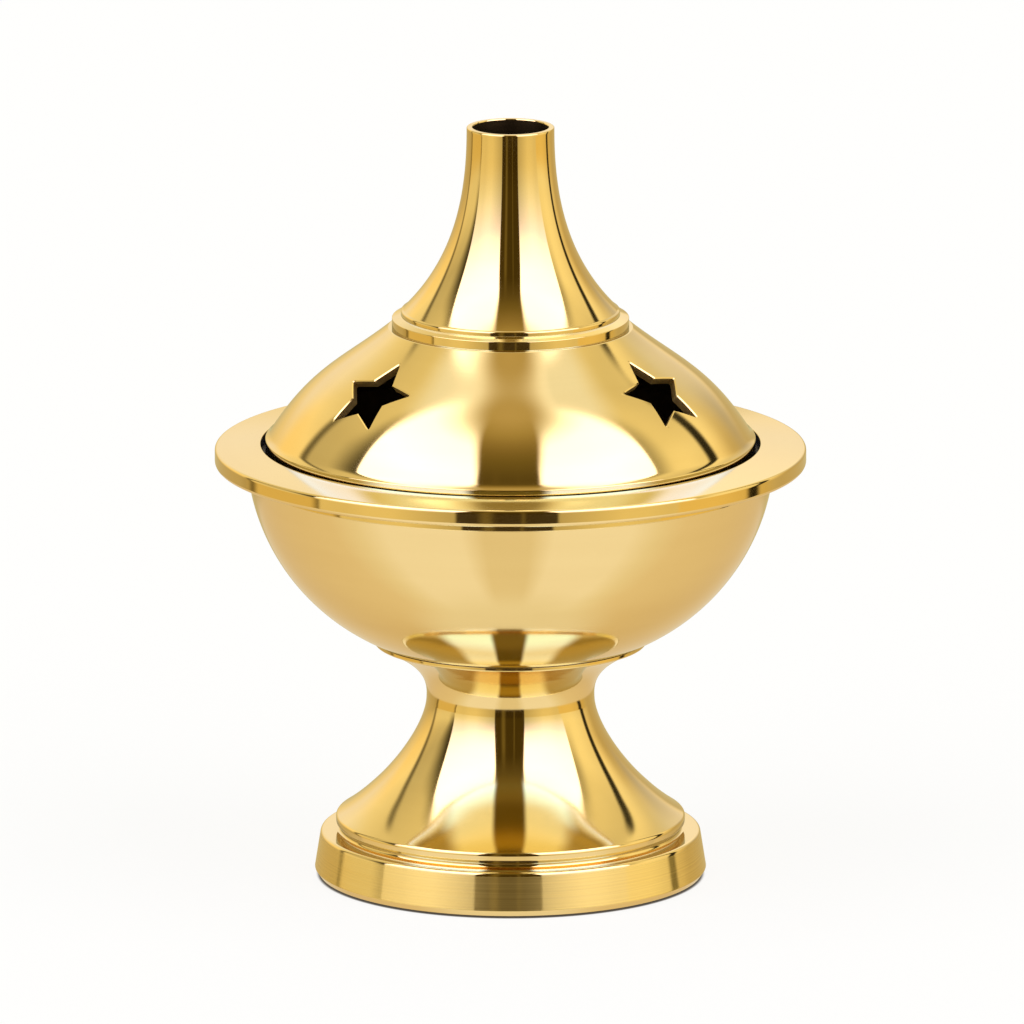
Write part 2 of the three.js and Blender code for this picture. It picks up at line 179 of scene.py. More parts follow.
class Bench:
    """A node tree that is being built."""

    def __init__(self, tree: NodeTree) -> None:
        """Takes a tree to add nodes to."""
        self.tree = tree

    @classmethod
    def cleared(cls, owner: Material | World) -> "Bench":
        """The emptied tree of a material or world."""
        owner.use_nodes = True
        owner.node_tree.nodes.clear()
        return cls(owner.node_tree)

    def node(self, kind: str, inputs: dict[Any, Any] | None = None, output: Any = 0,
             **settings: Any) -> Wire:
        """Adds one node.

        Args:
            kind: The node's type.
            inputs: Values or wires by the socket's name or number.
            output: The name or number of the output that is wanted.
            settings: The node's properties.

        Returns:
            That output.
        """
        made = self.tree.nodes.new(kind)
        for name, value in settings.items():
            setattr(made, name, value)
        for key, value in (inputs or {}).items():
            if isinstance(value, Wire):
                self.tree.links.new(value.socket, made.inputs[key])
            else:
                made.inputs[key].default_value = value
        return Wire(self, made.outputs[output] if len(made.outputs) else None)

    def math(self, operation: str, *values: Any) -> Wire:
        """Adds a Math node on some values or wires."""
        return self.node("ShaderNodeMath", dict(enumerate(values)), operation=operation)

    def outputs(self, kind: str, *names: str) -> list[Wire]:
        """Adds one node and returns several of its outputs."""
        made = self.node(kind).socket.node
        return [Wire(self, made.outputs[name]) for name in names]

    def split(self, vector: Wire) -> list[Wire]:
        """The three parts of a vector."""
        made = self.node("ShaderNodeSeparateXYZ", {0: vector}).socket.node
        return [Wire(self, out) for out in made.outputs]

    def vector(self, x: Any, y: Any, z: Any) -> Wire:
        """A vector of three values."""
        return self.node("ShaderNodeCombineXYZ", {0: x, 1: y, 2: z})

    def named(self, name: str) -> Wire:
        """A number that a mesh was given by label_mesh."""
        return self.node("GeometryNodeInputNamedAttribute", {"Name": name}, data_type="FLOAT")

    def ramp(self, value: Wire, stops: Sequence[tuple[float, ...]], peak: float = 1.0) -> Wire:
        """A colour or brightness that follows a value.

        Args:
            value: The value.
            stops: Values in rising order, each with its red, green and blue or one brightness.
            peak: What the ramp's colours are divided by, and its output multiplied by again.

        Returns:
            The colour.
        """
        low, high = stops[0][0], stops[-1][0]
        ramp = self.node("ShaderNodeValToRGB", {0: (value - low) / (high - low)})
        elements = ramp.socket.node.color_ramp.elements
        while len(elements) < len(stops):
            elements.new(1.0)
        for element, (at, *parts) in zip(elements, stops):
            element.position = (at - low) / (high - low)
            element.color = (*(part / peak for part in parts * (3 // len(parts))), 1.0)
        return ramp if peak == 1.0 else self.scale(ramp, peak)

    def scale(self, colour: Any, by: Any) -> Wire:
        """A colour or vector times a number."""
        return self.node("ShaderNodeVectorMath", {0: colour, "Scale": by}, operation="SCALE")

    def colours(self, operation: str, first: Any, second: Any) -> Wire:
        """What a Vector Math node makes of two colours."""
        return self.node("ShaderNodeVectorMath", {0: first, 1: second}, operation=operation)

    def mix(self, share: Any, first: Any, second: Any) -> Wire:
        """A first colour mixed with a share of a second."""
        pair = [value if isinstance(value, Wire) else (*value, 1.0) for value in (first, second)]
        return self.node("ShaderNodeMix", {0: share, 6: pair[0], 7: pair[1]}, 2,
                         data_type="RGBA", clamp_factor=True)

    def metal(self, colour: Any, roughness: Any, relief: Wire, depth: float, strength: float = 1.0,
              stretch: float | None = None) -> Wire:
        """A metal's shader.

        Args:
            colour: What it reflects.
            roughness: How matt it is.
            relief: The height of its surface, from 0 to 1.
            depth: The relief's depth in millimetres.
            strength: How much the relief tells.
            stretch: How far its marks draw out a highlight, if they do.

        Returns:
            The shader.
        """
        inputs = {"Base Color": colour, "Metallic": 1.0, "Roughness": roughness,
                  "Normal": self.bump(relief, depth, strength)}
        if stretch is not None:
            inputs |= {"Anisotropic": stretch, "Anisotropic Rotation": 0.25}
        return self.node("ShaderNodeBsdfPrincipled", inputs, "BSDF")

    def bump(self, relief: Wire, depth: float, strength: float) -> Wire:
        """The normal of a surface with some relief, whose depth is in millimetres."""
        return self.node("ShaderNodeBump", {"Strength": strength, "Distance": depth * MM,
                                            "Height": relief}, "Normal")


# Finishes


class Coordinates:
    """Object coordinates of a turned piece, in millimetres, and patterns that run round its axis."""

    def __init__(self, bench: Bench) -> None:
        """Adds the nodes that every pattern shares."""
        self.bench = bench
        self.place = bench.scale(bench.node("ShaderNodeTexCoord", output="Object"), 1.0 / MM)
        self.x, self.y, self.z = bench.split(self.place)
        self.radius = (self.x * self.x + self.y * self.y).math("SQRT")

    def lines(self, per_mm: float, round_turns: float) -> Wire:
        """Tool marks: noise that changes fast up the meridian and slowly round the axis.

        Args:
            per_mm: Marks to a millimetre of meridian.
            round_turns: How fast they change round the axis.

        Returns:
            A value about 0.5.
        """
        safe = self.radius + 0.001
        spot = self.bench.vector(self.x / safe * round_turns, self.y / safe * round_turns,
                                 self.z * per_mm)
        return self.bench.node("ShaderNodeTexNoise", {"Vector": spot, "W": self.radius * per_mm,
                                                      "Scale": 1.0, "Detail": 2.0},
                               "Fac", noise_dimensions="4D")

    def cloud(self, per_mm: float, detail: float = 3.0) -> Wire:
        """Soft patches: plain noise in space, a value about 0.5."""
        return self.bench.node("ShaderNodeTexNoise", {"Vector": self.place, "Scale": per_mm,
                                                      "Detail": detail}, "Fac")


@dataclass(frozen=True)
class Finish:
    """A material with a main colour and a deeper one, which each kind of finish lays its own way."""

    name: str
    colour: Colour
    deep: Colour

    def material(self) -> Material:
        """Builds the material."""
        made = bpy.data.materials.new(self.name)
        bench = Bench.cleared(made)
        shader = self.shader(bench, Coordinates(bench))
        bench.node("ShaderNodeOutputMaterial", {"Surface": shader})
        return made

    def shader(self, bench: Bench, spots: Coordinates) -> Wire:
        """Builds the shader.

        Args:
            bench: The material's tree.
            spots: The piece's coordinates, and the patterns made of them.

        Returns:
            The shader.
        """
        raise NotImplementedError


@dataclass(frozen=True)
class TurnedBrass(Finish):
    """Brass off the lathe, polished or left satin, with fine marks round its axis."""

    roughness: float
    roughness_spread: float
    mark_depth: float
    mark_pitch: float
    stretch: float

    def shader(self, bench: Bench, spots: Coordinates) -> Wire:
        """Mixes fine and broad tool marks with soft patches."""
        fine = spots.lines(1.0 / self.mark_pitch, 1.5)
        broad = spots.lines(0.35, 0.8)
        cloud = spots.cloud(0.06)
        tone = (broad - 0.5) * 0.9 + (cloud - 0.5) * 0.7 + 0.35
        spread = (fine - 0.5) * 0.6 + (broad - 0.5) * 0.6 + (cloud - 0.5) * 0.5
        return bench.metal(bench.mix(tone, self.colour, self.deep),
                           self.roughness + self.roughness_spread * spread,
                           fine * 0.6 + broad * 0.4, self.mark_depth, stretch=self.stretch)


@dataclass(frozen=True)
class BrushedBrass(Finish):
    """Polished brass with a satin bloom from fine emery lines round its axis."""

    bloom_colour: Colour = (0.86, 0.60, 0.16)
    bloom: float = 0.36
    bloom_spread: float = 0.5
    polish_roughness: float = 0.07
    bloom_roughness: float = 0.42
    line_depth: float = 0.002

    def shader(self, bench: Bench, spots: Coordinates) -> Wire:
        """Mixes a polished metal with a satin one along the emery lines."""
        fine = spots.lines(7.0, 1.2)
        broad = spots.lines(1.4, 0.6)
        colour = bench.mix((broad - 0.5) * 1.4 + 0.5, self.colour, self.deep)
        polish, satin = (bench.metal(tint, roughness, fine, self.line_depth, stretch=0.6)
                         for tint, roughness in ((colour, self.polish_roughness),
                                                 ((*self.bloom_colour, 1.0), self.bloom_roughness)))
        share = self.bloom + self.bloom_spread * ((fine - 0.5) * 0.6 + (broad - 0.5) * 0.4)
        return bench.node("ShaderNodeMixShader", {0: share, 1: polish, 2: satin})


@dataclass(frozen=True)
class SawnBrass(Finish):
    """The matt walls of the pierced stars, with the grain that a file leaves."""

    def shader(self, bench: Bench, spots: Coordinates) -> Wire:
        """Lays the colours and the roughness by one grain."""
        grain = spots.cloud(9.0, 4.0)
        return bench.metal(bench.mix(grain * 1.4 - 0.2, self.colour, self.deep), 0.36 + 0.2 * grain,
                           grain, 0.02, 0.6)


@dataclass(frozen=True)
class PlatedSteel(Finish):
    """Bright plated steel of the fasteners."""

    def shader(self, bench: Bench, spots: Coordinates) -> Wire:
        """Lays the colours by soft patches and the roughness by tool marks."""
        marks = spots.lines(6.0, 2.0)
        return bench.metal(bench.mix(spots.cloud(2.5), self.colour, self.deep), 0.24 + 0.16 * marks,
                           marks, 0.01, 0.5)


@dataclass(frozen=True)
class WoolFelt(Finish):
    """Matt wool felt with matted fibres."""

    def shader(self, bench: Bench, spots: Coordinates) -> Wire:
        """Lays the colours by fibres and tufts."""
        matted = spots.cloud(6.0, 6.0) * 0.7 + spots.cloud(0.8) * 0.3
        return bench.node("ShaderNodeBsdfPrincipled", {
            "Base Color": bench.mix(matted * 1.6 - 0.3, self.colour, self.deep), "Roughness": 0.95,
            "Sheen Weight": 0.4, "Sheen Roughness": 0.6, "Normal": bench.bump(matted, 0.12, 0.9)}, "BSDF")


class Finishes:
    """The burner's materials."""

    def __init__(self) -> None:
        """Builds every material once."""
        self.polished = TurnedBrass("polished_brass", (0.84, 0.59, 0.225), (0.78, 0.53, 0.19),
                                    0.07, 0.025, 0.0014, 0.16, 0.9).material()
        self.brushed = BrushedBrass("brushed_brass", (0.84, 0.59, 0.225),
                                    (0.76, 0.51, 0.18)).material()
        self.inside = TurnedBrass("inside_brass", (0.62, 0.40, 0.13), (0.46, 0.28, 0.085),
                                  0.34, 0.16, 0.012, 0.3, 0.3).material()
        # Painted shade: near-black brass on the insides of the rim ring, the dome and the chimney, so the
        # gap round the lid, the holes behind the stars and the chimney's mouth read dark.
        self.painted_shade = TurnedBrass("smoked_brass", (0.07, 0.043, 0.016), (0.03, 0.018, 0.007),
                                  0.48, 0.2, 0.02, 0.35, 0.0).material()
        self.plain = TurnedBrass("plain_brass", (0.72, 0.50, 0.20), (0.60, 0.40, 0.15),
                                 0.27, 0.12, 0.008, 0.25, 0.5).material()
        self.pierced = SawnBrass("pierced_brass", (0.76, 0.51, 0.17), (0.54, 0.34, 0.09)).material()
        self.steel = PlatedSteel("plated_steel", (0.62, 0.62, 0.63), (0.46, 0.46, 0.48)).material()
        self.felt = WoolFelt("wool_felt", (0.05, 0.13, 0.08), (0.025, 0.07, 0.04)).material()
        self.usual = {Slot.POLISHED: (self.polished, self.inside), Slot.PLAIN: (self.plain,) * 2,
                      Slot.FELT: (self.felt,) * 2}


# Outlines


@dataclass
class Profile:
    """The outline of a turned piece in the plane of radius and height, in millimetres."""

    sides: int = BODY_SIDES
    support: float = 0.06
    bend: float = math.radians(4.0)
    facet: float = 20.0
    marks: list[tuple[float, float, float, Run]] = field(default_factory=list)
    kind: Run = Run.OUTER

    def to(self, radius: float, height: float, rounding: float = 0.0) -> "Profile":
        """Adds a corner, which is rounded to a radius if one is given."""
        self.marks.append((radius, height, rounding, self.kind))
        return self

    def through(self, points: Iterable[Place]) -> "Profile":
        """Adds points of a curve as they are."""
        for radius, height in points:
            self.to(radius, height)
        return self

    def now(self, kind: Run) -> "Profile":
        """Says which finish there is from the last corner's rounding on."""
        self.kind = kind
        self.marks[-1] = (*self.marks[-1][:3], kind)
        return self

    def inside(self) -> "Profile":
        """Says that what follows is on the inside."""
        return self.now(Run.INNER)

    @property
    def closed(self) -> bool:
        """Whether the outline goes round, and isn't that of a solid piece, from axis to axis."""
        return self.marks[0][0] > 0

    def _rounded(self) -> list[tuple[float, float, Run]]:
        """Rounds the corners.

        Returns:
            Radius, height, and the finish of the run after it, for each point.
        """
        out: list[tuple[float, float, Run]] = []
        count = len(self.marks)
        for i, (radius, height, rounding, kind) in enumerate(self.marks):
            here = Vector((radius, height))
            if rounding <= 0 or (not self.closed and i in (0, count - 1)):
                out.append((radius, height, kind))
                continue
            before = Vector(self.marks[i - 1][:2]) - here
            after = Vector(self.marks[(i + 1) % count][:2]) - here
            turn = math.pi - before.angle(after)
            reach = min(rounding * math.tan(turn / 2), 0.45 * before.length, 0.45 * after.length)
            true_radius = reach / math.tan(turn / 2)
            start = here + before.normalized() * reach
            middle = (before.normalized() + after.normalized()).normalized()
            centre = here + middle * math.hypot(reach, true_radius)
            steps = max(2, math.ceil(math.degrees(turn) / self.facet))
            first = start - centre
            side = 1.0 if before.cross(after) < 0 else -1.0
            for k in range(steps + 1):
                angle = side * turn * k / steps
                spoke = Vector((first.x * math.cos(angle) - first.y * math.sin(angle),
                                first.x * math.sin(angle) + first.y * math.cos(angle)))
                spot = centre + spoke
                out.append((spot.x, spot.y, kind if k == steps else self.marks[i - 1][3]))
        return out

    def outline(self) -> list[tuple[float, float, Run]]:
        """Rounds the corners and adds points beside them, which hold the flats true.

        Returns:
            Radius, height, and the finish of the run after it, in turning order.
        """
        points = self._rounded()
        area = sum(a[0] * b[1] - b[0] * a[1] for a, b in zip(points, points[1:] + points[:1]))
        if area > 0:
            kinds = [p[2] for p in points]
            kinds = kinds[:-1][::-1] + kinds[-1:]
            points = [(p[0], p[1], kind) for p, kind in zip(points[::-1], kinds)]
        held: list[tuple[float, float, Run]] = []
        count = len(points)
        runs = count if self.closed else count - 1
        places = [Vector(point[:2]) for point in points]
        for i in range(count):
            held.append(points[i])
            if i >= runs:
                continue
            before, here, there, after = (places[k % count] for k in (i - 1, i, i + 1, i + 2))
            step = there - here
            if step.length < 5 * self.support:
                continue
            share = self.support / step.length
            for turns, part in ((step.angle(here - before, math.pi) > self.bend, share),
                                (step.angle(after - there, math.pi) > self.bend, 1 - share)):
                if turns:
                    held.append((*here.lerp(there, part), points[i][2]))
        if self.closed:
            held.append(held[0])
        return held


def heading(degrees: float) -> Vector:
    """The direction at an angle from the outward radius towards +Z."""
    return Vector((math.cos(math.radians(degrees)), math.sin(math.radians(degrees))))


def bezier(t: float, *poles: Vector) -> Vector:
    """Finds a point on a Bezier curve.

    Args:
        t: The share of the way along it.
        poles: Its three or four poles.

    Returns:
        The point.
    """
    degree = len(poles) - 1
    total = Vector((0.0, 0.0))
    for k, pole in enumerate(poles):
        total += math.comb(degree, k) * (1 - t) ** (degree - k) * t ** k * pole
    return total


def sweep(start: Place, leaving: float, reach_out: float, end: Place, arriving: float,
          reach_in: float, steps: int) -> list[Place]:
    """Points on a cubic curve.

    Args:
        start: Its first point.
        leaving: Its heading there, in degrees from the outward radius towards +Z.
        reach_out: The length of the handle there.
        end: Its last point.
        arriving: Its heading there.
        reach_in: The length of the handle there.
        steps: How many parts to cut it into.

    Returns:
        The points from start to end.
    """
    poles = (Vector(start), Vector(start) + reach_out * heading(leaving),
             Vector(end) - reach_in * heading(arriving), Vector(end))
    return [tuple(bezier(i / steps, *poles)) for i in range(steps + 1)]


def arc(centre: Place, radius: float, start: float, stop: float, steps: int) -> list[Place]:
    """Points on an arc, with its angles in degrees from the outward radius towards +Z."""
    angles = [math.radians(start + (stop - start) * i / steps) for i in range(steps + 1)]
    return [(centre[0] + radius * math.cos(a), centre[1] + radius * math.sin(a)) for a in angles]


def offset(points: Sequence[Place], distance: float) -> list[Place]:
    """Moves a curve square to itself.

    Args:
        points: The curve's points.
        distance: How far, to its right when it is followed from start to end.

    Returns:
        The moved points.
    """
    out = []
    for i, (radius, height) in enumerate(points):
        before, after = points[max(i - 1, 0)], points[min(i + 1, len(points) - 1)]
        along = (Vector(after) - Vector(before)).normalized()
        out.append((radius + distance * along.y, height - distance * along.x))
    return out


def crossing(points: Sequence[Place], axis: int, value: float) -> Place:
    """Finds where a run of points first meets a radius or a height.

    Args:
        points: The run.
        axis: 0 for a radius, 1 for a height.
        value: The radius or height.

    Returns:
        The place, or the last point if they don't meet.
    """
    for a, b in zip(points, points[1:]):
        if (a[axis] - value) * (b[axis] - value) <= 0 and a[axis] != b[axis]:
            spot = Vector(a).lerp(Vector(b), (value - a[axis]) / (b[axis] - a[axis]))
            return (spot.x, spot.y)
    return points[-1]


# Lathe and piercing


@dataclass
class Cut:
    """A closed shape to take out of a turned piece at some bearings, and the finishes it leaves.

    The shape is at bearing 0, which is towards -Y. Bearings are degrees from there towards +X. The
    faces that are labelled as its edge have a finish of their own.
    """

    shape: Mesh
    bearings: Sequence[float]
    finish: Material
    edge: Material


class GeometryTree:
    """A geometry node tree with named inputs, and the way to run it on a mesh."""

    FINISHES: tuple[str, ...] = ()

    def __init__(self, name: str, **inputs: str) -> None:
        """Makes the tree with its inputs, its finishes and one geometry output.

        Args:
            name: The tree's name.
            inputs: The kind of each input's socket by the input's name.
        """
        self.tree = bpy.data.node_groups.new(name, "GeometryNodeTree")
        sockets = self.tree.interface
        self.keys = {}
        for label, kind in (inputs | dict.fromkeys(self.FINISHES, "Material")).items():
            made = sockets.new_socket(label, in_out="INPUT", socket_type="NodeSocket" + kind)
            self.keys[label] = made.identifier
        sockets.new_socket("Result", in_out="OUTPUT", socket_type="NodeSocketGeometry")
        self.bench = Bench(self.tree)
        self.input = dict(zip(self.keys, self.bench.outputs("NodeGroupInput", *self.keys)))

    def dressed(self, body: Wire, chooser: Wire) -> Wire:
        """Sets the finishes on the faces of a body.

        Args:
            body: The body.
            chooser: A number for each face: 0 for the first finish, 1 for the second, and so on.

        Returns:
            The body with its finishes.
        """
        for number, label in enumerate(self.FINISHES):
            body = self.bench.node("GeometryNodeSetMaterial", {
                "Geometry": body, "Selection": chooser.math("COMPARE", number, 0.5),
                "Material": self.input[label]})
        return body

    def run(self, blank: Mesh, name: str, values: dict[str, Any],
            finishes: Iterable[Material]) -> Mesh:
        """Runs the tree on a mesh and keeps the result as a plain mesh.

        Args:
            blank: The mesh it starts from.
            name: The name of the result.
            values: The tree's inputs by name.
            finishes: Its finishes in order.

        Returns:
            The new mesh.
        """
        holder = put(name, blank)
        modifier = holder.modifiers.new(self.tree.name, "NODES")
        modifier.node_group = self.tree
        for label, value in (values | dict(zip(self.FINISHES, finishes))).items():
            modifier[self.keys[label]] = value
        graph = bpy.context.evaluated_depsgraph_get()
        graph.update()
        made = bpy.data.meshes.new_from_object(holder.evaluated_get(graph), depsgraph=graph)
        made.name = name
        used = [0] * len(made.polygons)
        made.polygons.foreach_get("material_index", used)
        kept = sorted(set(used))
        shown = [made.materials[k] for k in kept]
        made.materials.clear()
        for finish in shown:
            made.materials.append(finish)
        made.polygons.foreach_set("material_index", [kept.index(k) for k in used])
        holder.modifiers.clear()
        bpy.data.objects.remove(holder)
        return made


class Lathe(GeometryTree):
    """Turns an outline about Z: a grid is wrapped round the axis, its rows on the outline's points."""

    FINISHES = ("Outer Finish", "Inner Finish", "Side Finish")
    SEAM = 1e-6

    def __init__(self) -> None:
        """Builds the tree."""
        super().__init__("lathe", Outline="Geometry", Sides="Int")
        node, outline, sides = self.bench.node, self.input["Outline"], self.input["Sides"]
        points = node("GeometryNodeAttributeDomainSize", {0: outline}, "Point Count", component="MESH")
        body = node("GeometryNodeMeshGrid", {"Size X": 1.0, "Size Y": 1.0, "Vertices X": points,
                                             "Vertices Y": sides + 1})
        index = node("GeometryNodeInputIndex")
        angle = index % (sides + 1) * (2 * math.pi) / sides
        spot = node("GeometryNodeSampleIndex", {
            "Geometry": outline, "Value": node("GeometryNodeInputPosition"),
            "Index": (index / (sides + 1)).math("FLOOR")}, data_type="FLOAT_VECTOR", domain="POINT")
        radius, _, height = self.bench.split(spot)
        turned = self.bench.vector(radius * angle.math("COSINE"), radius * angle.math("SINE"), height)
        body = node("GeometryNodeSetPosition", {"Geometry": body, "Position": turned})
        named = self.bench.named("run")
        kind = node("GeometryNodeSampleIndex", {
            "Geometry": outline, "Value": named, "Index": (index / sides).math("FLOOR")},
            data_type="FLOAT", domain="POINT")
        body = node("GeometryNodeStoreNamedAttribute", {"Geometry": body, "Name": "run", "Value": kind},
                    data_type="FLOAT", domain="FACE")
        body = node("GeometryNodeMergeByDistance", {"Geometry": body, "Distance": self.SEAM})
        body = node("GeometryNodeSetShadeSmooth", {"Geometry": body})
        body = node("GeometryNodeRealizeInstances", {"Geometry": body})
        node("NodeGroupOutput", {0: self.dressed(body, named)})

    def turn(self, name: str, profile: Profile,
             finishes: Sequence[Material]) -> Mesh:
        """Turns one piece.

        Args:
            name: The mesh's name.
            profile: Its outline.
            finishes: The finishes of its outside, its inside and the runs marked as a side.

        Returns:
            The mesh, in metres.
        """
        outline = profile.outline()
        corners = [(radius * MM, 0.0, height * MM) for radius, height, _ in outline]
        blank = new_mesh(name + "_outline", corners, [(i, i + 1) for i in range(len(corners) - 1)])
        label_mesh(blank, "run", "POINT", [float(kind.value) for *_, kind in outline])
        return self.run(blank, name, {"Sides": profile.sides}, finishes)


class Piercer(GeometryTree):
    """Cuts one shape out of a turned blank at several bearings."""

    FINISHES = ("Cut Finish", "Edge Finish")

    def __init__(self) -> None:
        """Builds the tree."""
        super().__init__("piercer", Blank="Geometry", Cutter="Object", Bearings="Object")
        node, bench = self.bench.node, self.bench
        cutter, points = (node("GeometryNodeObjectInfo", {"Object": self.input[label]}, "Geometry")
                          for label in ("Cutter", "Bearings"))
        cutters = node("GeometryNodeInstanceOnPoints", {
            "Points": points, "Instance": cutter,
            "Rotation": bench.vector(0.0, 0.0, bench.named("bearing"))})
        cutters = node("GeometryNodeRealizeInstances", {"Geometry": cutters})
        cutters = self.dressed(cutters, bench.named("edge"))
        body = node("GeometryNodeMeshBoolean", {"Mesh 1": self.input["Blank"], "Mesh 2": cutters},
                    operation="DIFFERENCE", solver="EXACT")
        node("NodeGroupOutput", {0: node("GeometryNodeRealizeInstances", {"Geometry": body})})

    def pierce(self, blank: Mesh, cut: Cut) -> Mesh:
        """Cuts a turned mesh.

        Args:
            blank: The mesh.
            cut: What is taken out of it.

        Returns:
            The pierced mesh.
        """
        spots = new_mesh("bearings", [(0.0, 0.0, 0.0)] * len(cut.bearings))
        label_mesh(spots, "bearing", "POINT", [math.radians(b) for b in cut.bearings])
        helpers = {"Cutter": put("cutter", cut.shape), "Bearings": put("bearings", spots)}
        made = self.run(blank, blank.name + "_pierced", helpers, (cut.finish, cut.edge))
        for helper in helpers.values():
            bpy.data.objects.remove(helper)
        return made


class Workshop:
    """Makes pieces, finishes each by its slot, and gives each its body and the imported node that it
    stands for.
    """

    def __init__(self) -> None:
        """Sets up the finishes, the lathe and the piercer."""
        self.finishes = Finishes()
        self.lathe = Lathe()
        self.piercer = Piercer()

    def make(self, node: str, profile: Profile, body: Body, slot: Slot = Slot.POLISHED,
             inner: Material | None = None, cut: Cut | None = None,
             sharp: float = 36.0) -> None:
        """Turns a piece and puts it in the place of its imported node.

        Args:
            node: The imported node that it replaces.
            profile: Its outline.
            body: The body that it moves with.
            slot: The record's slot of its finish.
            inner: The finish of its inside, if that isn't the usual one.
            cut: What is cut out of it, if anything is.
            sharp: The angle past which an edge is left sharp, in degrees.
        """
        outer, usual = self.finishes.usual[slot]
        mesh = self.lathe.turn(node, profile, (outer, inner or usual, self.finishes.brushed))
        if cut:
            mesh = self.piercer.pierce(mesh, cut)
        mesh.set_sharp_from_angle(angle=math.radians(sharp))
        piece = put("fine_" + node, mesh)
        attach(piece, body.value)
        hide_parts(node)
        log.info("%s: %d faces, on %s", piece.name, len(mesh.polygons), body.value)


# The burner


@dataclass
class Belly:
    """The bowl's curve: one arc about a circle outside the axis."""

    radius: float = 27.42
    offset: float = 6.51
    centre: float = 56.25

    def run(self, low: float, high: float, growth: float, steps: int) -> list[Place]:
        """Follows the curve from one height to another.

        Args:
            low: The height it starts at.
            high: The height it ends at.
            growth: How much larger the arc is than the bowl's outside.
            steps: How many parts to cut it into.

        Returns:
            The points.
        """
        radius = self.radius + growth
        low_angle, high_angle = (-math.degrees(math.asin((self.centre - height) / radius))
                                 for height in (low, high))
        return arc((self.offset, self.centre), radius, low_angle, high_angle, steps)

    def under(self, radius: float, growth: float) -> float:
        """The height of the curve's underside at a radius."""
        return self.centre - math.sqrt((self.radius + growth) ** 2 - (radius - self.offset) ** 2)


@dataclass
class Foot:
    """Felt, plinth and pedestal."""

    shop: Workshop
    belly: Belly
    felt_radius: float = 23.3
    felt_thickness: float = 1.0
    plinth_top: float = 5.88
    plinth_foot: float = 25.2
    plinth_floor: float = 0.25
    felt_seat: Place = (23.6, 1.0)
    recess: Place = (22.0, 4.8)
    seat: float = 6.4
    register: Place = (19.4, 20.6)
    register_height: float = 1.0
    groove_radius: float = 21.9
    groove_height: float = 6.28
    band_radius: float = 22.5
    step_radius: float = 20.9
    step_height: float = 7.7
    hollow_top: float = 17.5
    cup_radius: float = 17.5
    cup_edge: float = 0.55
    cup_gap: float = 0.03
    waist: Place = (10.8, 23.5)
    skirt: Place = (17.2, 12.16)
    skirt_heading: float = -44.9
    bell_foot: Place = (22.0, 8.15)
    bell_wall: float = 1.6

    def build(self) -> None:
        """Builds the three pieces."""
        self._felt()
        self._plinth()
        self._pedestal()

    def _felt(self) -> None:
        """The felt disc, with its edge softened."""
        disc = Profile()
        disc.to(0.0, 0.0).to(self.felt_radius, 0.0, 0.18)
        disc.to(self.felt_radius, self.felt_thickness, 0.1).to(0.0, self.felt_thickness)
        self.shop.make("base_felt", disc, Body.BASE, Slot.FELT)

    def _plinth(self) -> None:
        """The tapered ring with its groove, web, recess and the register that centres the pedestal."""
        top, foot, seat = self.plinth_top, self.plinth_foot, self.seat
        ring = Profile()
        ring.to(self.groove_radius, seat, 0.05).to(self.groove_radius, self.groove_height)
        ring.through(arc((22.3, self.groove_height), 0.4, 180, 270, 5)[1:])
        ring.through(arc((24.036, top - 0.45), 0.45, 90, 9, 7))
        ring.to(24.505, 5.36).now(Run.SIDE).to(foot, 1.0, 0.1).now(Run.OUTER)
        ring.to(24.67, self.plinth_floor, 0.12).inside().to(self.felt_seat[0], self.plinth_floor, 0.08)
        ring.to(*self.felt_seat).to(self.recess[0], self.felt_seat[1], 0.1).to(*self.recess, 0.3)
        ring.to(BOLT_HOLE, self.recess[1], 0.1).to(BOLT_HOLE, seat).to(self.register[0], seat)
        for radius in self.register:
            ring.to(radius, seat + self.register_height, 0.1)
        ring.to(self.register[1], seat)
        self.shop.make("plinth", ring, Body.BASE)

    def _pedestal(self) -> None:
        """Cup, waist and bell, with the narrow band at the bell's foot."""
        lip = self.belly.under(self.cup_radius, self.cup_gap)
        cove = sweep((self.cup_radius - 0.35, lip - self.cup_edge), -155.5, 6.6,
                     self.waist, -88, 2.0, 26)
        waist = sweep(self.waist, -90, 3.3, self.skirt, self.skirt_heading, 4.4, 22)
        bell = sweep(self.skirt, self.skirt_heading, 2.1, self.bell_foot, -33, 2.0, 12)
        inside = offset(waist + bell[1:], self.bell_wall)
        ceiling = crossing(inside, 1, self.hollow_top)
        step = crossing(inside, 1, self.step_height)
        body = Profile()
        body.to(self.cup_radius, lip, 0.04).to(self.cup_radius, lip - self.cup_edge, 0.2)
        body.through(cove).through(waist[1:]).through(bell[1:])
        body.to(self.band_radius, 7.825, 0.5).to(self.band_radius - 0.06, 6.93, 0.06)
        body.to(self.groove_radius, 6.9, 0.04).to(self.groove_radius, self.seat, 0.04).inside()
        body.to(self.step_radius, self.seat).to(self.step_radius, step[1]).to(*step)
        body.through([p for p in inside if step[1] < p[1] < ceiling[1]][::-1]).to(*ceiling)
        body.to(BOLT_HOLE, ceiling[1]).to(BOLT_HOLE, BOWL_SEAT)
        body.through(self.belly.run(BOWL_SEAT, lip, self.cup_gap, 12)[:-1])
        self.shop.make("pedestal", body, Body.BASE)


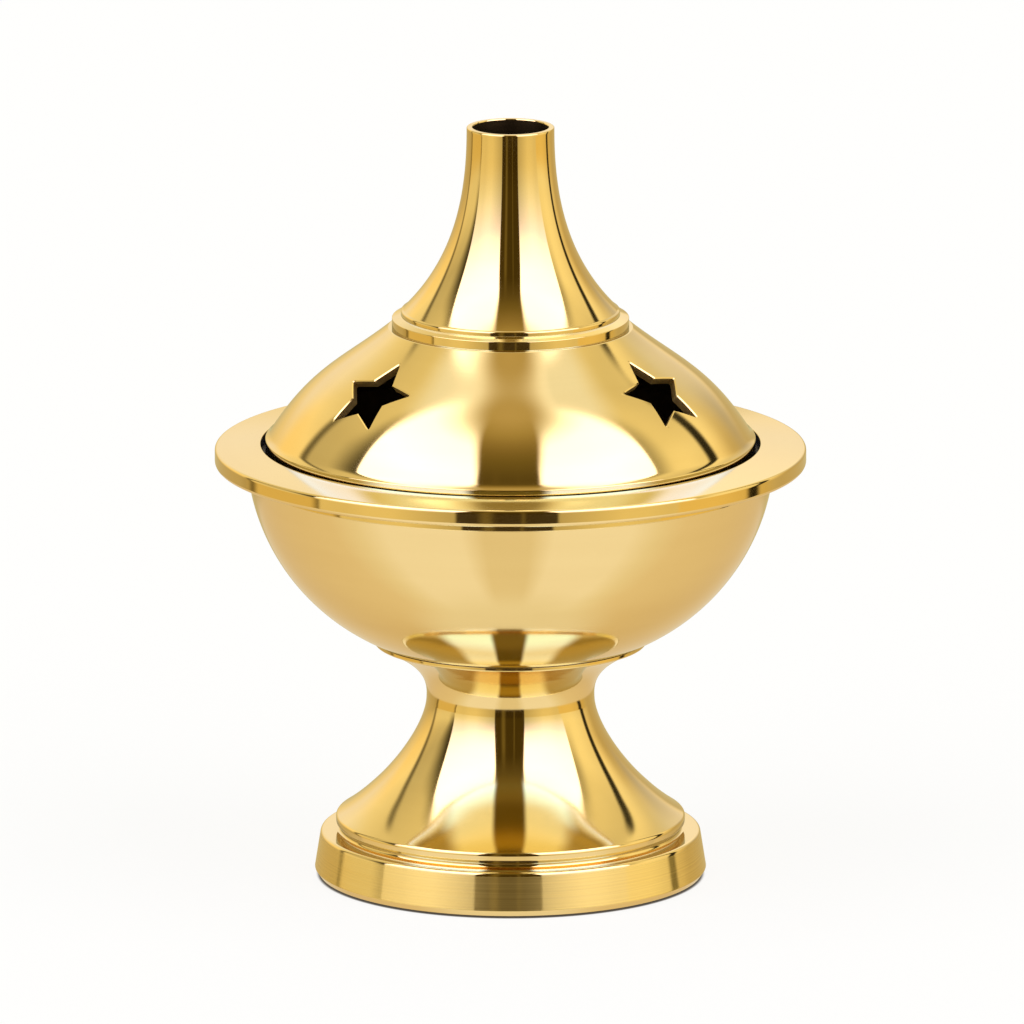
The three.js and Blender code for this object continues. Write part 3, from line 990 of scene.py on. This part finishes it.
@dataclass
class Vessel:
    """The bowl and the broad rim ring that drops onto its lip."""

    shop: Workshop
    belly: Belly
    lip: float = 54.3
    wall: float = 1.3
    floor: float = 1.5
    band: float = 52.7
    band_radius: float = 33.88
    rim_under: float = 54.12
    rim_radius: float = 37.95
    rim_edge: float = 56.25
    rim_top: float = 56.8
    recess: float = 32.05
    lid_seat: float = 55.4
    bore: float = 30.6
    spigot: float = 31.95
    spigot_foot: float = 51.8

    def build(self) -> None:
        """Builds both pieces."""
        floor = BOWL_SEAT + self.floor
        shell = Profile()
        shell.to(BOLT_HOLE, BOWL_SEAT)
        shell.through(self.belly.run(BOWL_SEAT, self.band - 0.08, 0.0, 62))
        shell.to(self.band_radius, self.band, 0.03).to(self.band_radius, self.lip).inside()
        shell.through(self.belly.run(floor, self.lip, -self.wall, 56)[::-1]).to(BOLT_HOLE, floor)
        self.shop.make("bowl", shell, Body.BASE)
        ring, over = Profile(), self.band_radius + 0.1
        ring.to(self.spigot, self.lip).to(over, self.lip).to(over, self.rim_under, 0.05)
        ring.to(self.rim_radius, self.rim_under, 0.45).to(self.rim_radius, self.rim_edge, 0.4)
        ring.to(self.recess, self.rim_top, 0.14).inside().to(self.recess, self.lid_seat)
        ring.to(self.bore, self.lid_seat, 0.12).to(self.bore, self.spigot_foot, 0.1)
        ring.to(self.spigot, self.spigot_foot, 0.2)
        # Painted shade: the rim ring's recess, bore and spigot are near-black brass, so the gap round the
        # lid's foot reads dark.
        self.shop.make("rim_ring", ring, Body.BASE, inner=self.shop.finishes.painted_shade)


@dataclass
class Dish:
    """The loose dish with its cup and rivet."""

    shop: Workshop
    belly: Belly
    floor: float = 35.8
    wall: float = 0.8
    floor_radius: float = 16.0
    bead_radius: float = 23.3
    bead: float = 0.7
    bead_drop: float = 2.3
    cup_radius: float = 7.2
    cup_rim: float = 39.0
    cup_floor: float = 0.6
    rivet_hole: float = 1.3
    rivet_head: float = 2.1
    rivet_tail: float = 1.3
    rivet_crown: float = 0.8

    def build(self) -> None:
        """Builds the three pieces."""
        self._pan()
        self._cup()
        self._rivet()

    def _pan(self) -> None:
        """The dish, whose rolled bead rests on the bowl's wall."""
        bead_height = self.belly.under(self.bead_radius, -self.bead_drop)
        bead = arc((self.bead_radius, bead_height), self.bead, 120, -130, 18)
        rise = sweep((self.floor_radius, self.floor), 0, 2.4, bead[0], 30, 2.4, 18)
        pan = Profile()
        pan.to(self.rivet_hole, self.floor).through(rise).through(bead[1:])
        pan.through(offset(rise, self.wall)[:-1][::-1]).to(self.rivet_hole, self.floor - self.wall)
        self.shop.make("cone_dish", pan, Body.DISH, Slot.PLAIN)

    def _cup(self) -> None:
        """The cup for the cone's foot."""
        rim, floor, radius = self.cup_rim, self.floor, self.cup_radius
        top = floor + self.cup_floor
        cup = Profile(SMALL_SIDES)
        cup.to(self.rivet_hole, floor).to(radius - 0.8, floor, 0.1).to(radius - 0.2, top, 0.3)
        cup.to(radius, rim, 0.3).to(radius - 0.7, rim, 0.3).to(radius - 0.9, top, 0.4)
        cup.to(self.rivet_hole, top)
        self.shop.make("cone_cup", cup, Body.DISH, Slot.PLAIN)

    def _rivet(self) -> None:
        """The rivet through both, with a domed head."""
        head, under = self.floor + self.cup_floor, self.floor - self.wall
        tail = self.floor - self.rivet_tail
        rivet = Profile(RIVET_SIDES)
        rivet.to(0.0, tail).to(1.6, tail, 0.1).to(self.rivet_head, under, 0.05)
        rivet.to(1.0, under).to(1.0, head).to(self.rivet_head, head, 0.03)
        dome_radius = (self.rivet_head ** 2 + self.rivet_crown ** 2) / (2 * self.rivet_crown)
        spread = math.degrees(math.asin(self.rivet_head / dome_radius))
        centre = (0.0, head + self.rivet_crown - dome_radius)
        rivet.through(arc(centre, dome_radius, 90 - spread, 90, 10)[1:])
        self.shop.make("cup_rivet", rivet, Body.DISH, Slot.PLAIN)


@dataclass
class StarVent:
    """One star pierced square to the dome, with a fine chamfer round its outer edge."""

    distance: float = 9.68
    tip: float = 5.9
    notch: float = 2.95
    points: int = 5
    soften: float = 0.22
    least_soft: float = 0.05
    chamfer: float = 0.16
    chamfer_depth: float = 0.12
    inward: float = 6.0
    flare: float = 5.0
    clear: float = 3.0
    corner_steps: int = 5
    side_steps: int = 8

    def outline(self, grown: float) -> list[Place]:
        """The star's outline, with its corners softened.

        Args:
            grown: How far the outline is moved outwards, in millimetres.

        Returns:
            Points across and up the star.
        """
        count = 2 * self.points
        corners = [Vector((math.sin(math.pi * i / self.points), math.cos(math.pi * i / self.points)))
                   * (self.notch if i % 2 else self.tip) for i in range(count)]
        moved = []
        for i, corner in enumerate(corners):
            before, after = corners[i - 1] - corner, corners[(i + 1) % count] - corner
            middle = (before.normalized() + after.normalized()).normalized()
            outward = middle if i % 2 else -middle
            moved.append(corner + outward * (grown / math.sin(before.angle(after) / 2)))
        starts, stops = [], []
        for i, corner in enumerate(moved):
            before, after = moved[i - 1] - corner, moved[(i + 1) % count] - corner
            rounding = max(self.soften + (-grown if i % 2 else grown), self.least_soft)
            cut = min(rounding * math.tan((math.pi - before.angle(after)) / 2), 0.3 * before.length)
            starts.append(corner + before.normalized() * cut)
            stops.append(corner + after.normalized() * cut)
        outline = []
        for i, (start, corner, stop) in enumerate(zip(starts, moved, stops)):
            outline += [bezier(k / self.corner_steps, start, corner, stop)
                        for k in range(self.corner_steps + 1)]
            following = starts[(i + 1) % count]
            outline += [stop.lerp(following, k / self.side_steps) for k in range(1, self.side_steps)]
        return [tuple(spot) for spot in outline]

    def _seat(self, dome: Sequence[Place]) -> tuple[Vector, Vector]:
        """Finds the star's middle.

        Args:
            dome: The dome's outer curve, from its neck to its foot.

        Returns:
            The place on the curve, and the curve's direction there.
        """
        walked = 0.0
        for a, b in zip(dome, dome[1:]):
            step = Vector(b) - Vector(a)
            if walked + step.length >= self.distance:
                break
            walked += step.length
        return Vector(a) + step * ((self.distance - walked) / step.length), step.normalized()

    def cutter(self, dome: Sequence[Place]) -> Mesh:
        """The closed cutter at bearing 0.

        Args:
            dome: The dome's outer curve, from its neck to its foot.

        Returns:
            The cutter's mesh, in metres.
        """
        place, along = self._seat(dome)
        axis = Vector((0.0, along.y, along.x))
        wide, deep = self.chamfer * self.flare, self.chamfer_depth * self.flare
        rings = []
        for grown, lift in ((0.0, None), (0.0, -self.chamfer_depth), (self.chamfer, 0.0),
                            (self.chamfer + wide, deep), (self.chamfer + wide, deep + self.clear)):
            ring = []
            for across, rise in self.outline(grown):
                radius, height = place - along * rise
                flat = Vector((across, -radius, height))
                travel = -self.inward if lift is None else self._lift(flat, axis, dome) + lift
                ring.append((flat + axis * travel) * MM)
            rings.append(ring)
        size, count = len(rings[0]), len(rings)
        faces = [list(range(size)), list(range((count - 1) * size, count * size))[::-1]]
        for k in range(count - 1):
            for i in range(size):
                j = (i + 1) % size
                faces.append([(k + 1) * size + i, (k + 1) * size + j, k * size + j, k * size + i])
        mesh = new_mesh("star_cutter", [corner for ring in rings for corner in ring], (), faces)
        chamfered = range(2 + size, 2 + 3 * size)
        label_mesh(mesh, "edge", "FACE", [float(i in chamfered) for i in range(len(faces))])
        return mesh

    @staticmethod
    def _lift(spot: Vector, axis: Vector, dome: Sequence[Place]) -> float:
        """Measures how far a point is from the dome's outer surface.

        Args:
            spot: The point.
            axis: The direction to measure in.
            dome: The dome's outer curve.

        Returns:
            The distance in millimetres, less than 0 if the point is outside.
        """
        low, high = -6.0, 6.0
        for _ in range(26):
            middle = (low + high) / 2
            here = spot + axis * middle
            if here.z > crossing(dome, 0, math.hypot(here.x, here.y))[1]:
                high = middle
            else:
                low = middle
        return (low + high) / 2


@dataclass
class Lid:
    """The pierced dome with its collar, chimney and ring nut."""

    shop: Workshop
    vent: StarVent = field(default_factory=StarVent)
    vent_bearings: tuple[float, ...] = (-49.3, 54.4, 139.8, 225.2)
    wall: float = 1.1
    neck: float = 72.0
    neck_radius: float = 15.66
    dome_foot: Place = (30.51, 58.5)
    dome_heading: float = -56.5
    flange: float = 31.45
    seat: float = 55.4
    skirt: Place = (30.3, 29.2)
    skirt_foot: float = 53.2
    collar: float = 15.2
    tenon: float = 12.2
    tenon_hole: float = 12.5
    tenon_bore: float = 11.0
    tenon_foot: float = 68.3
    chimney_seat: float = 73.62
    chimney_foot: Place = (13.75, 74.3)
    chimney_foot_radius: float = 14.05
    chimney_lip: Place = (5.62, 97.70)
    chimney_top: float = 98.12
    chimney_wall: float = 0.8
    nut_radius: float = 14.6
    nut_height: float = 2.0
    slots: int = 4
    slot_half: float = 1.2
    slot_depth: float = 0.9

    def build(self) -> None:
        """Builds the four pieces."""
        self._dome()
        self._collar()
        self._chimney()
        self._ring_nut()

    def _dome(self) -> None:
        """The thin dome with its flange, skirt and star vents."""
        outside = sweep((self.neck_radius, self.neck), -39.3, 8.3,
                        self.dome_foot, self.dome_heading, 8.7, 60)
        inside = offset(outside, self.wall)
        outer, inner = self.skirt
        neck, foot = crossing(inside, 1, self.neck - self.wall), crossing(inside, 0, inner)
        cove = sweep((30.75, 58.14), self.dome_heading, 0.33, (31.43, 57.45), -36, 0.33, 8)
        shell = Profile()
        shell.to(self.tenon_hole, self.neck).to(*outside[0], 0.18).through(outside[1:]).through(cove)
        shell.to(self.flange, 57.41).to(self.flange, 56.3).inside().to(self.flange, self.seat, 0.1)
        shell.to(outer, self.seat).to(outer, self.skirt_foot, 0.15).to(inner, self.skirt_foot, 0.15)
        shell.to(inner, foot[1], 0.3)
        shell.through([p for p in inside if foot[1] < p[1] < neck[1]][::-1])
        shell.to(*neck, 0.2).to(self.tenon_hole, self.neck - self.wall)
        finishes = self.shop.finishes
        stars = Cut(self.vent.cutter(outside), self.vent_bearings, finishes.pierced, finishes.polished)
        # Painted shade: the dome's inside, with the lower flange side, seat and skirt, is near-black
        # brass.
        self.shop.make("lid_dome", shell, Body.LID, inner=finishes.painted_shade, cut=stars, sharp=30.0)

    def _collar(self) -> None:
        """The narrow ring between the dome and the chimney, with a low cone on top."""
        ring = Profile()
        ring.to(self.tenon_hole, self.neck).to(self.collar, self.neck, 0.05).to(self.collar, 73.2, 0.08)
        ring.to(self.chimney_foot_radius, self.chimney_seat).to(self.tenon_hole, self.chimney_seat)
        self.shop.make("chimney_collar", ring, Body.LID, inner=self.shop.finishes.polished)

    def _chimney(self) -> None:
        """The trumpet with its rounded lip and its tenon."""
        outside = sweep(self.chimney_lip, -90, 9.47, self.chimney_foot, -45.3, 8.73, 60)
        inside = offset(outside, self.chimney_wall)
        throat = crossing(inside, 0, self.tenon_bore)
        mouth = self.chimney_lip[0]
        trumpet = Profile()
        trumpet.to(4.86, 98.0).to(4.95, self.chimney_top, 0.04).to(mouth, self.chimney_top, 0.3)
        trumpet.through(outside).through(arc((13.75, 74.0), 0.3, 45, 0, 4))
        trumpet.to(self.chimney_foot_radius, self.chimney_seat, 0.03).inside()
        trumpet.to(self.tenon, self.chimney_seat).to(self.tenon, self.tenon_foot, 0.2)
        trumpet.to(self.tenon_bore, self.tenon_foot, 0.2).to(self.tenon_bore, throat[1])
        trumpet.through([p for p in inside if p[0] < throat[0] and p[1] < 97.2][::-1])
        # Painted shade: the chimney's tenon and bore are near-black brass, so its mouth reads dark.
        self.shop.make("chimney", trumpet, Body.LID, inner=self.shop.finishes.painted_shade)

    def _ring_nut(self) -> None:
        """The nut inside the dome, with its spanner slots."""
        top, outer, half = self.neck - self.wall, self.nut_radius, self.slot_half
        under = top - self.nut_height
        ring = Profile(SMALL_SIDES)
        ring.to(self.tenon_hole, top).to(outer, top, 0.1).to(outer, under, 0.2)
        ring.to(self.tenon_hole, under, 0.15)
        plain = self.shop.finishes.plain
        corners = [(x * MM, -y * MM, z * MM) for z in (under - 1.0, under + self.slot_depth)
                   for x, y in ((-half, outer - half), (half, outer - half),
                                (half, outer + half), (-half, outer + half))]
        slot = new_mesh("slot_cutter", corners, (), [(0, 1, 2, 3), (7, 6, 5, 4), (0, 4, 5, 1),
                                                     (1, 5, 6, 2), (2, 6, 7, 3), (3, 7, 4, 0)])
        bearings = [360 * (i + 0.5) / self.slots for i in range(self.slots)]
        self.shop.make("chimney_ring_nut", ring, Body.LID, Slot.PLAIN,
                       cut=Cut(slot, bearings, plain, plain))


@dataclass
class TieRod:
    """The steel bolt, nut and washers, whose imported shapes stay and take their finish."""

    shop: Workshop
    nodes: tuple[str, ...] = ("tie_bolt", "bolt_washer", "nut_washer", "clamp_nut")

    def build(self, packed: dict[str, Object]) -> None:
        """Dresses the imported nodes.

        Args:
            packed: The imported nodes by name.
        """
        steel = self.shop.finishes.steel
        for name in self.nodes:
            packed[name].data.materials.clear()
            packed[name].data.materials.append(steel)
            log.info("%s: dressed in %s", name, steel.name)


# The studio


class Sky:
    """The studio's light by direction: azimuth from the viewer towards +X, and elevation, in degrees.

    Two tall soft boxes stand in front with a dark gap between them. Each has a dimmer side beyond
    it, with one dark stripe. Every ramp gives a colour or a brightness by elevation, apart from
    SPREAD and GROUND, which go by the distance aside from the middle of the gap.
    """

    GAP_MIDDLE = -1.3
    GAP_HALF = 19.9
    BOX_TOP = 79.5
    GAP = ((-20, 0.045, 0.029, 0.005), (-6, 0.050, 0.033, 0.006), (4, 0.071, 0.050, 0.010),
        (45, 0.071, 0.050, 0.010), (55, 0.124, 0.093, 0.027), (62.5, 0.198, 0.153, 0.043),
        (67.5, 0.268, 0.205, 0.072), (72.5, 0.351, 0.274, 0.106), (77.5, 0.459, 0.372, 0.158),
        (85, 0.578, 0.482, 0.252), (90, 0.60, 0.50, 0.27))
    STREAK = (1.2, 1.0, 0.35)
    BOX = ((-20, 0.92, 0.82, 0.45), (-5, 1.02, 0.925, 0.57), (2.5, 1.18, 1.19, 1.06),
        (7.5, 1.30, 1.34, 1.50), (12.5, 1.45, 1.49, 2.04), (17.5, 1.6, 1.62, 2.57), (25, 2.3, 2.3, 3.37),
        (35, 3.0, 3.0, 4.07), (50, 3.5, 3.5, 4.6), (67, 3.0, 3.0, 4.0), (77, 1.5, 1.6, 1.9),
        (90, 1.2, 1.2, 1.2))
    SPREAD = ((0, 0.55), (20, 0.62), (32, 0.80), (46, 1.0), (56, 1.0), (66, 0.92), (80, 0.96), (180, 0.9))
    WARM = (1.05, 1.0, 0.70)
    AMBER = (1.18, 0.99, 0.50)
    BROWN = (0.95, 0.76, 0.31)
    COOL = (0.95, 1.04, 1.2)
    LEFT = ((-20, 0.88), (3, 0.92), (12, 0.74), (22, 0.62), (34, 0.70), (50, 0.85), (90, 1.1))
    LEFT_DIP = ((-20, 0.75), (-9, 0.7), (-4, 0.15), (2, 0.6), (10, 0.9), (32, 0.93), (46, 0.75), (60, 0.3),
        (90, 0.0))
    LEFT_BACK = ((-20, 0.5), (-6, 0.56), (3, 0.82), (10, 1.0), (20, 1.1), (30, 1.0), (42, 0.87), (90, 1.0))
    RIGHT = ((-20, 1.0), (-5, 1.08), (5, 1.17), (30, 1.17), (40, 1.0), (60, 0.92), (90, 1.1))
    RIGHT_DIP = ((-20, 0.0), (8, 0.06), (20, 0.2), (38, 0.52), (48, 0.5), (62, 0.2), (90, 0.0))
    GROUND = ((0, 0.93, 0.92, 0.88), (11, 0.93, 0.92, 0.88), (22, 1.08, 1.14, 1.32),
        (60, 1.08, 1.14, 1.32), (75, 0.98, 0.99, 0.98), (90, 0.92, 0.87, 0.78), (120, 0.87, 0.80, 0.66),
        (150, 0.80, 0.70, 0.50), (180, 0.80, 0.70, 0.50))
    NADIR = (0.98, 1.01, 1.06)
    AGAIN_MIDDLE = ((-60, 0.14, 0.14, 0.05), (-49, 0.16, 0.15, 0.05), (-44, 0.48, 0.42, 0.10),
        (-32, 0.50, 0.44, 0.11), (-22, 0.38, 0.32, 0.07), (-16, 0.20, 0.18, 0.04), (-8, 0.14, 0.13, 0.03),
        (-2, 0.16, 0.15, 0.04), (6, 0.17, 0.16, 0.06), (15, 0.26, 0.26, 0.13), (36, 0.24, 0.25, 0.13),
        (40, 0.24, 0.25, 0.13))
    AGAIN_NEAR = ((-60, 1.5, 2.4, 6.0), (-50, 1.35, 1.7, 2.0), (-32, 1.4, 1.85, 2.6), (-18, 1.5, 2.1, 4.1),
        (-7, 1.35, 2.0, 4.4), (4, 1.32, 1.9, 4.2), (12, 1.45, 2.5, 8.0), (20, 1.5, 3.0, 10.0),
        (36, 1.5, 3.0, 10.0), (40, 1.5, 3.0, 10.0))
    AGAIN_FAR = ((-60, 1.2, 1.6, 3.0), (-45, 0.7, 0.75, 0.7), (-15, 0.58, 0.62, 0.48),
        (-4, 0.66, 0.68, 0.46), (3, 0.66, 0.67, 0.42), (9, 0.42, 0.43, 0.26), (13, 0.46, 0.47, 0.32),
        (22, 0.95, 1.15, 1.6), (30, 1.25, 1.8, 3.5), (50, 1.4, 2.0, 5.0), (60, 1.4, 2.0, 5.0))
    AGAIN_TINT = (1.1, 1.4, 1.8)

    def __init__(self, bench: Bench) -> None:
        """Adds the nodes for the direction."""
        self.bench = bench
        x, y, z = bench.split(bench.node("ShaderNodeTexCoord", output="Generated"))
        self.az = x.math("ARCTAN2", y * -1.0) * (180 / math.pi)
        self.el = z.math("ARCSINE") * (180 / math.pi)
        self.up = abs(self.el) * self.el
        self.aside = abs(self.az - self.GAP_MIDDLE)

    def first(self) -> Wire:
        """What the brass mirrors.

        Returns:
            The light's colour.
        """
        bench, el, aside = self.bench, self.el, self.aside
        streaks = (self.az.hump(-9.5, 4.5) * 0.1 + self.az.hump(5.0, 1.6) * 0.07) * el.fall(35.0, 60.0)
        dark = bench.colours("ADD", bench.ramp(el, self.GAP), bench.scale(self.STREAK, streaks))
        spread = bench.ramp(aside, self.SPREAD)
        box = bench.scale(bench.ramp(el, self.BOX, 5.0), spread.toward(1.0, el.rise(5.0, 40.0)))
        top = self.BOX_TOP - 25.7 * ((20.0 - aside) / 14.45).math("EXPONENT")
        soft = 0.8 + 1.2 * el.rise(30.0, 66.0)
        in_box = aside.rise(self.GAP_HALF - soft, self.GAP_HALF + soft) * el.fall(top - 6.0, top + 6.0)
        light, edge = self._beyond()
        blur = 0.8 + 7.0 * el.rise(45.0, 62.0)
        past = aside.rise(edge - blur, edge + blur) * el.fall(74.0, 80.0)
        upper = bench.mix(past, bench.mix(in_box, dark, box), light)
        ground = bench.ramp(aside, self.GROUND, 1.4)
        ground = bench.mix(el.fall(-78.0, -60.0), ground, self.NADIR)
        return bench.mix(el.rise(-18.5, -15.5), ground, upper)

    def _beyond(self) -> tuple[Wire, Wire]:
        """The light beyond the soft boxes.

        Returns:
            Its colour, and how far aside it begins.
        """
        bench, el, up, aside = self.bench, self.el, self.up, self.aside
        left_edge = 80.0 + 0.0075 * up
        left = self._left_side(aside - left_edge, aside - (120.5 + 0.0065 * up))
        right_edge = 74.0 + 0.25 * el + 0.0035 * up
        right = self._right_side(aside - right_edge, aside - (115.0 + 0.25 * el + 0.0045 * up))
        on_right = self.az.rise(-1.0, 1.0)
        high = el.rise(54.0, 66.0)
        bright = left.toward(right, on_right).toward(1.12, high)
        behind = 0.5 * aside.rise(140.0, 156.0) * el.rise(2.0, 12.0) * el.fall(24.0, 40.0)
        warm = bench.mix(aside.rise(100.0, 140.0) * el.fall(8.0, 30.0), self.WARM, self.AMBER)
        warm = bench.mix(el.fall(-9.0, -3.0) * aside.fall(118.0, 132.0), warm, self.BROWN)
        colour = bench.mix(high.math("MAXIMUM", behind), warm, self.COOL)
        return bench.scale(colour, bright), left_edge.toward(right_edge, on_right)

    def _left_side(self, past: Wire, from_stripe: Wire) -> Wire:
        """The light beyond the left soft box, darkest at its edge.

        Args:
            past: Degrees past the box's edge.
            from_stripe: Degrees past the stripe's middle.

        Returns:
            How bright it is.
        """
        bench, el = self.bench, self.el
        wide = 5.0 + 6.0 * el.rise(-9.0, -4.0) + 12.0 * el.rise(4.0, 24.0) - 9.0 * el.rise(34.0, 48.0)
        dip = bench.ramp(el, self.LEFT_DIP) * past.fall(0.0, wide)
        near = bench.ramp(el, self.LEFT, 1.3) * (1.0 - dip)
        side = near.toward(bench.ramp(el, self.LEFT_BACK, 1.3), from_stripe.rise(0.0, 6.0))
        return side * (1.0 - 0.72 * from_stripe.hump(0.0, 5.0) * el.fall(39.0, 46.0))

    def _right_side(self, past: Wire, from_stripe: Wire) -> Wire:
        """The light beyond the right soft box, with a darker and wider stripe.

        Args:
            past: Degrees past the box's edge.
            from_stripe: Degrees past the stripe's middle.

        Returns:
            How bright it is.
        """
        bench, el = self.bench, self.el
        dip = bench.ramp(el, self.RIGHT_DIP) * past.fall(0.0, 15.0)
        near = bench.ramp(el, self.RIGHT, 1.3) * (1.0 - dip) * (1.0 - 0.14 * past.rise(16.0, 40.0))
        behind = 0.45 * self.aside.rise(150.0, 172.0) * el.rise(3.0, 8.0)
        back = 0.54 + 0.3 * from_stripe.fall(4.0, 22.0) + 0.3 * el.rise(8.0, 26.0) + behind
        side = near.toward(back, from_stripe.rise(0.0, 5.0))
        return side * (1.0 - 0.97 * abs(from_stripe).fall(1.8, 5.6) * el.fall(41.0, 48.0))

    def again(self, first: Wire) -> Wire:
        """What the brass shows of itself: by the gap more light than the studio has, high up its own.

        Args:
            first: The light's colour for a first mirror.

        Returns:
            The light's colour.
        """
        bench, el, aside = self.bench, self.el, self.aside
        edge = 66.0 + 7.0 * el.rise(2.0, 14.0)
        low = bench.mix(aside.rise(edge - 12.0, edge + 9.0), bench.ramp(el, self.AGAIN_NEAR, 10.0),
                        bench.ramp(el, self.AGAIN_FAR, 5.0))
        low = bench.mix(aside.rise(15.0, 22.0), bench.ramp(el, self.AGAIN_MIDDLE), low)
        high = bench.colours("MULTIPLY", first, self.AGAIN_TINT)
        high = bench.scale(high, 1.0 - 0.42 * el.rise(79.0, 84.0))
        return bench.mix(el.rise(46.0, 56.0), low, high)


@dataclass
class Studio:
    """The camera, a white floor and the light round them."""

    camera_distance: float = 2.536
    camera_elevation: float = 12.74
    aim_height: float = 0.0476
    focal_pixels: float = 19750.0
    frame_pixels: float = 1024.0
    sensor: float = 36.0
    axis_pixels_left: float = 1.5
    clip_end: float = 20.0
    floor_half: float = 6.0
    floor_glow: float = 0.865
    floor_white: Colour = (0.12, 0.118, 0.09)
    # Painted shadow under the foot: inside the first radius the floor's glow falls to the level on the
    # next line, and it rises back to full by the second radius, in millimetres.
    painted_shadow_radii: tuple[float, float] = (24.6, 25.15)
    painted_shadow_level: float = 0.04
    soft_light: float = 0.74
    backdrop: Colour = (1.0, 1.0, 1.0)

    def build(self) -> None:
        """Builds the camera, the floor and the light."""
        self._camera()
        self._floor()
        self._world()

    def _camera(self) -> None:
        """The camera at the photograph's angle."""
        data = bpy.data.cameras.new("camera")
        data.sensor_width = self.sensor
        data.lens = self.focal_pixels / self.frame_pixels * self.sensor
        data.shift_x = self.axis_pixels_left / self.frame_pixels
        data.clip_end = self.clip_end
        camera = put("camera", data)
        tilt = math.radians(self.camera_elevation)
        camera.location = (0.0, -self.camera_distance * math.cos(tilt),
                           self.aim_height + self.camera_distance * math.sin(tilt))
        camera.rotation_euler = (math.pi / 2 - tilt, 0.0, 0.0)
        bpy.context.scene.camera = camera

    def _floor(self) -> None:
        """A white floor that keeps the burner's faint shadow, with a painted shadow under the foot where
        its glow is dimmed, and lets reflections see the studio.
        """
        made = bpy.data.materials.new("studio_floor")
        bench = Bench.cleared(made)
        camera, glossy, through = bench.outputs(
            "ShaderNodeLightPath", "Is Camera Ray", "Is Glossy Ray", "Is Transmission Ray")
        # Painted shadow: the camera-only glow is dimmed to a dark ring under the plinth's foot.
        outside_painted_shadow = Coordinates(bench).radius.rise(*self.painted_shadow_radii)
        near = self.painted_shadow_level + (1.0 - self.painted_shadow_level) * outside_painted_shadow
        white = bench.node("ShaderNodeBsdfDiffuse", {"Color": (*self.floor_white, 1.0)})
        glow = bench.node("ShaderNodeEmission", {"Color": (1.0, 1.0, 1.0, 1.0),
                                                 "Strength": camera * near * self.floor_glow})
        lit = bench.node("ShaderNodeAddShader", {0: white, 1: glow})
        clear = bench.node("ShaderNodeBsdfTransparent")
        mixed = bench.node("ShaderNodeMixShader", {0: (glossy + through).math("MINIMUM", 1.0),
                                                   1: lit, 2: clear})
        bench.node("ShaderNodeOutputMaterial", {"Surface": mixed})
        half = self.floor_half
        corners = [(-half, -half, 0.0), (half, -half, 0.0), (half, half, 0.0), (-half, half, 0.0)]
        mesh = new_mesh("floor", corners, (), [(0, 1, 2, 3)])
        mesh.materials.append(made)
        put("floor", mesh)

    def _world(self) -> None:
        """The sky, full in a mirror and softer on matt surfaces, with a white backdrop."""
        world = bpy.data.worlds.new("studio")
        bench = Bench.cleared(world)
        bpy.context.scene.world = world
        camera, glossy, bounces = bench.outputs(
            "ShaderNodeLightPath", "Is Camera Ray", "Is Glossy Ray", "Glossy Depth")
        sky = Sky(bench)
        first = sky.first()
        mirrored = bench.mix(bounces.rise(1.4, 1.6), first, sky.again(first))
        lit = bench.scale(mirrored, self.soft_light + (1.0 - self.soft_light) * glossy)
        background = bench.node("ShaderNodeBackground", {
            "Color": bench.mix(camera, lit, self.backdrop), "Strength": 1.0})
        bench.node("ShaderNodeOutputWorld", {"Surface": background})


def main() -> None:
    """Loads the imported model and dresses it."""
    logging.basicConfig(level=logging.INFO, format="%(name)s: %(message)s")
    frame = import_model()
    bpy.context.scene.view_settings.view_transform = "Standard"
    Studio().build()
    shop = Workshop()
    belly = Belly()
    TieRod(shop).build(frame["nodes"])
    for part in (Foot(shop, belly), Vessel(shop, belly), Dish(shop, belly), Lid(shop)):
        part.build()


if __name__ == "__main__":
    main()
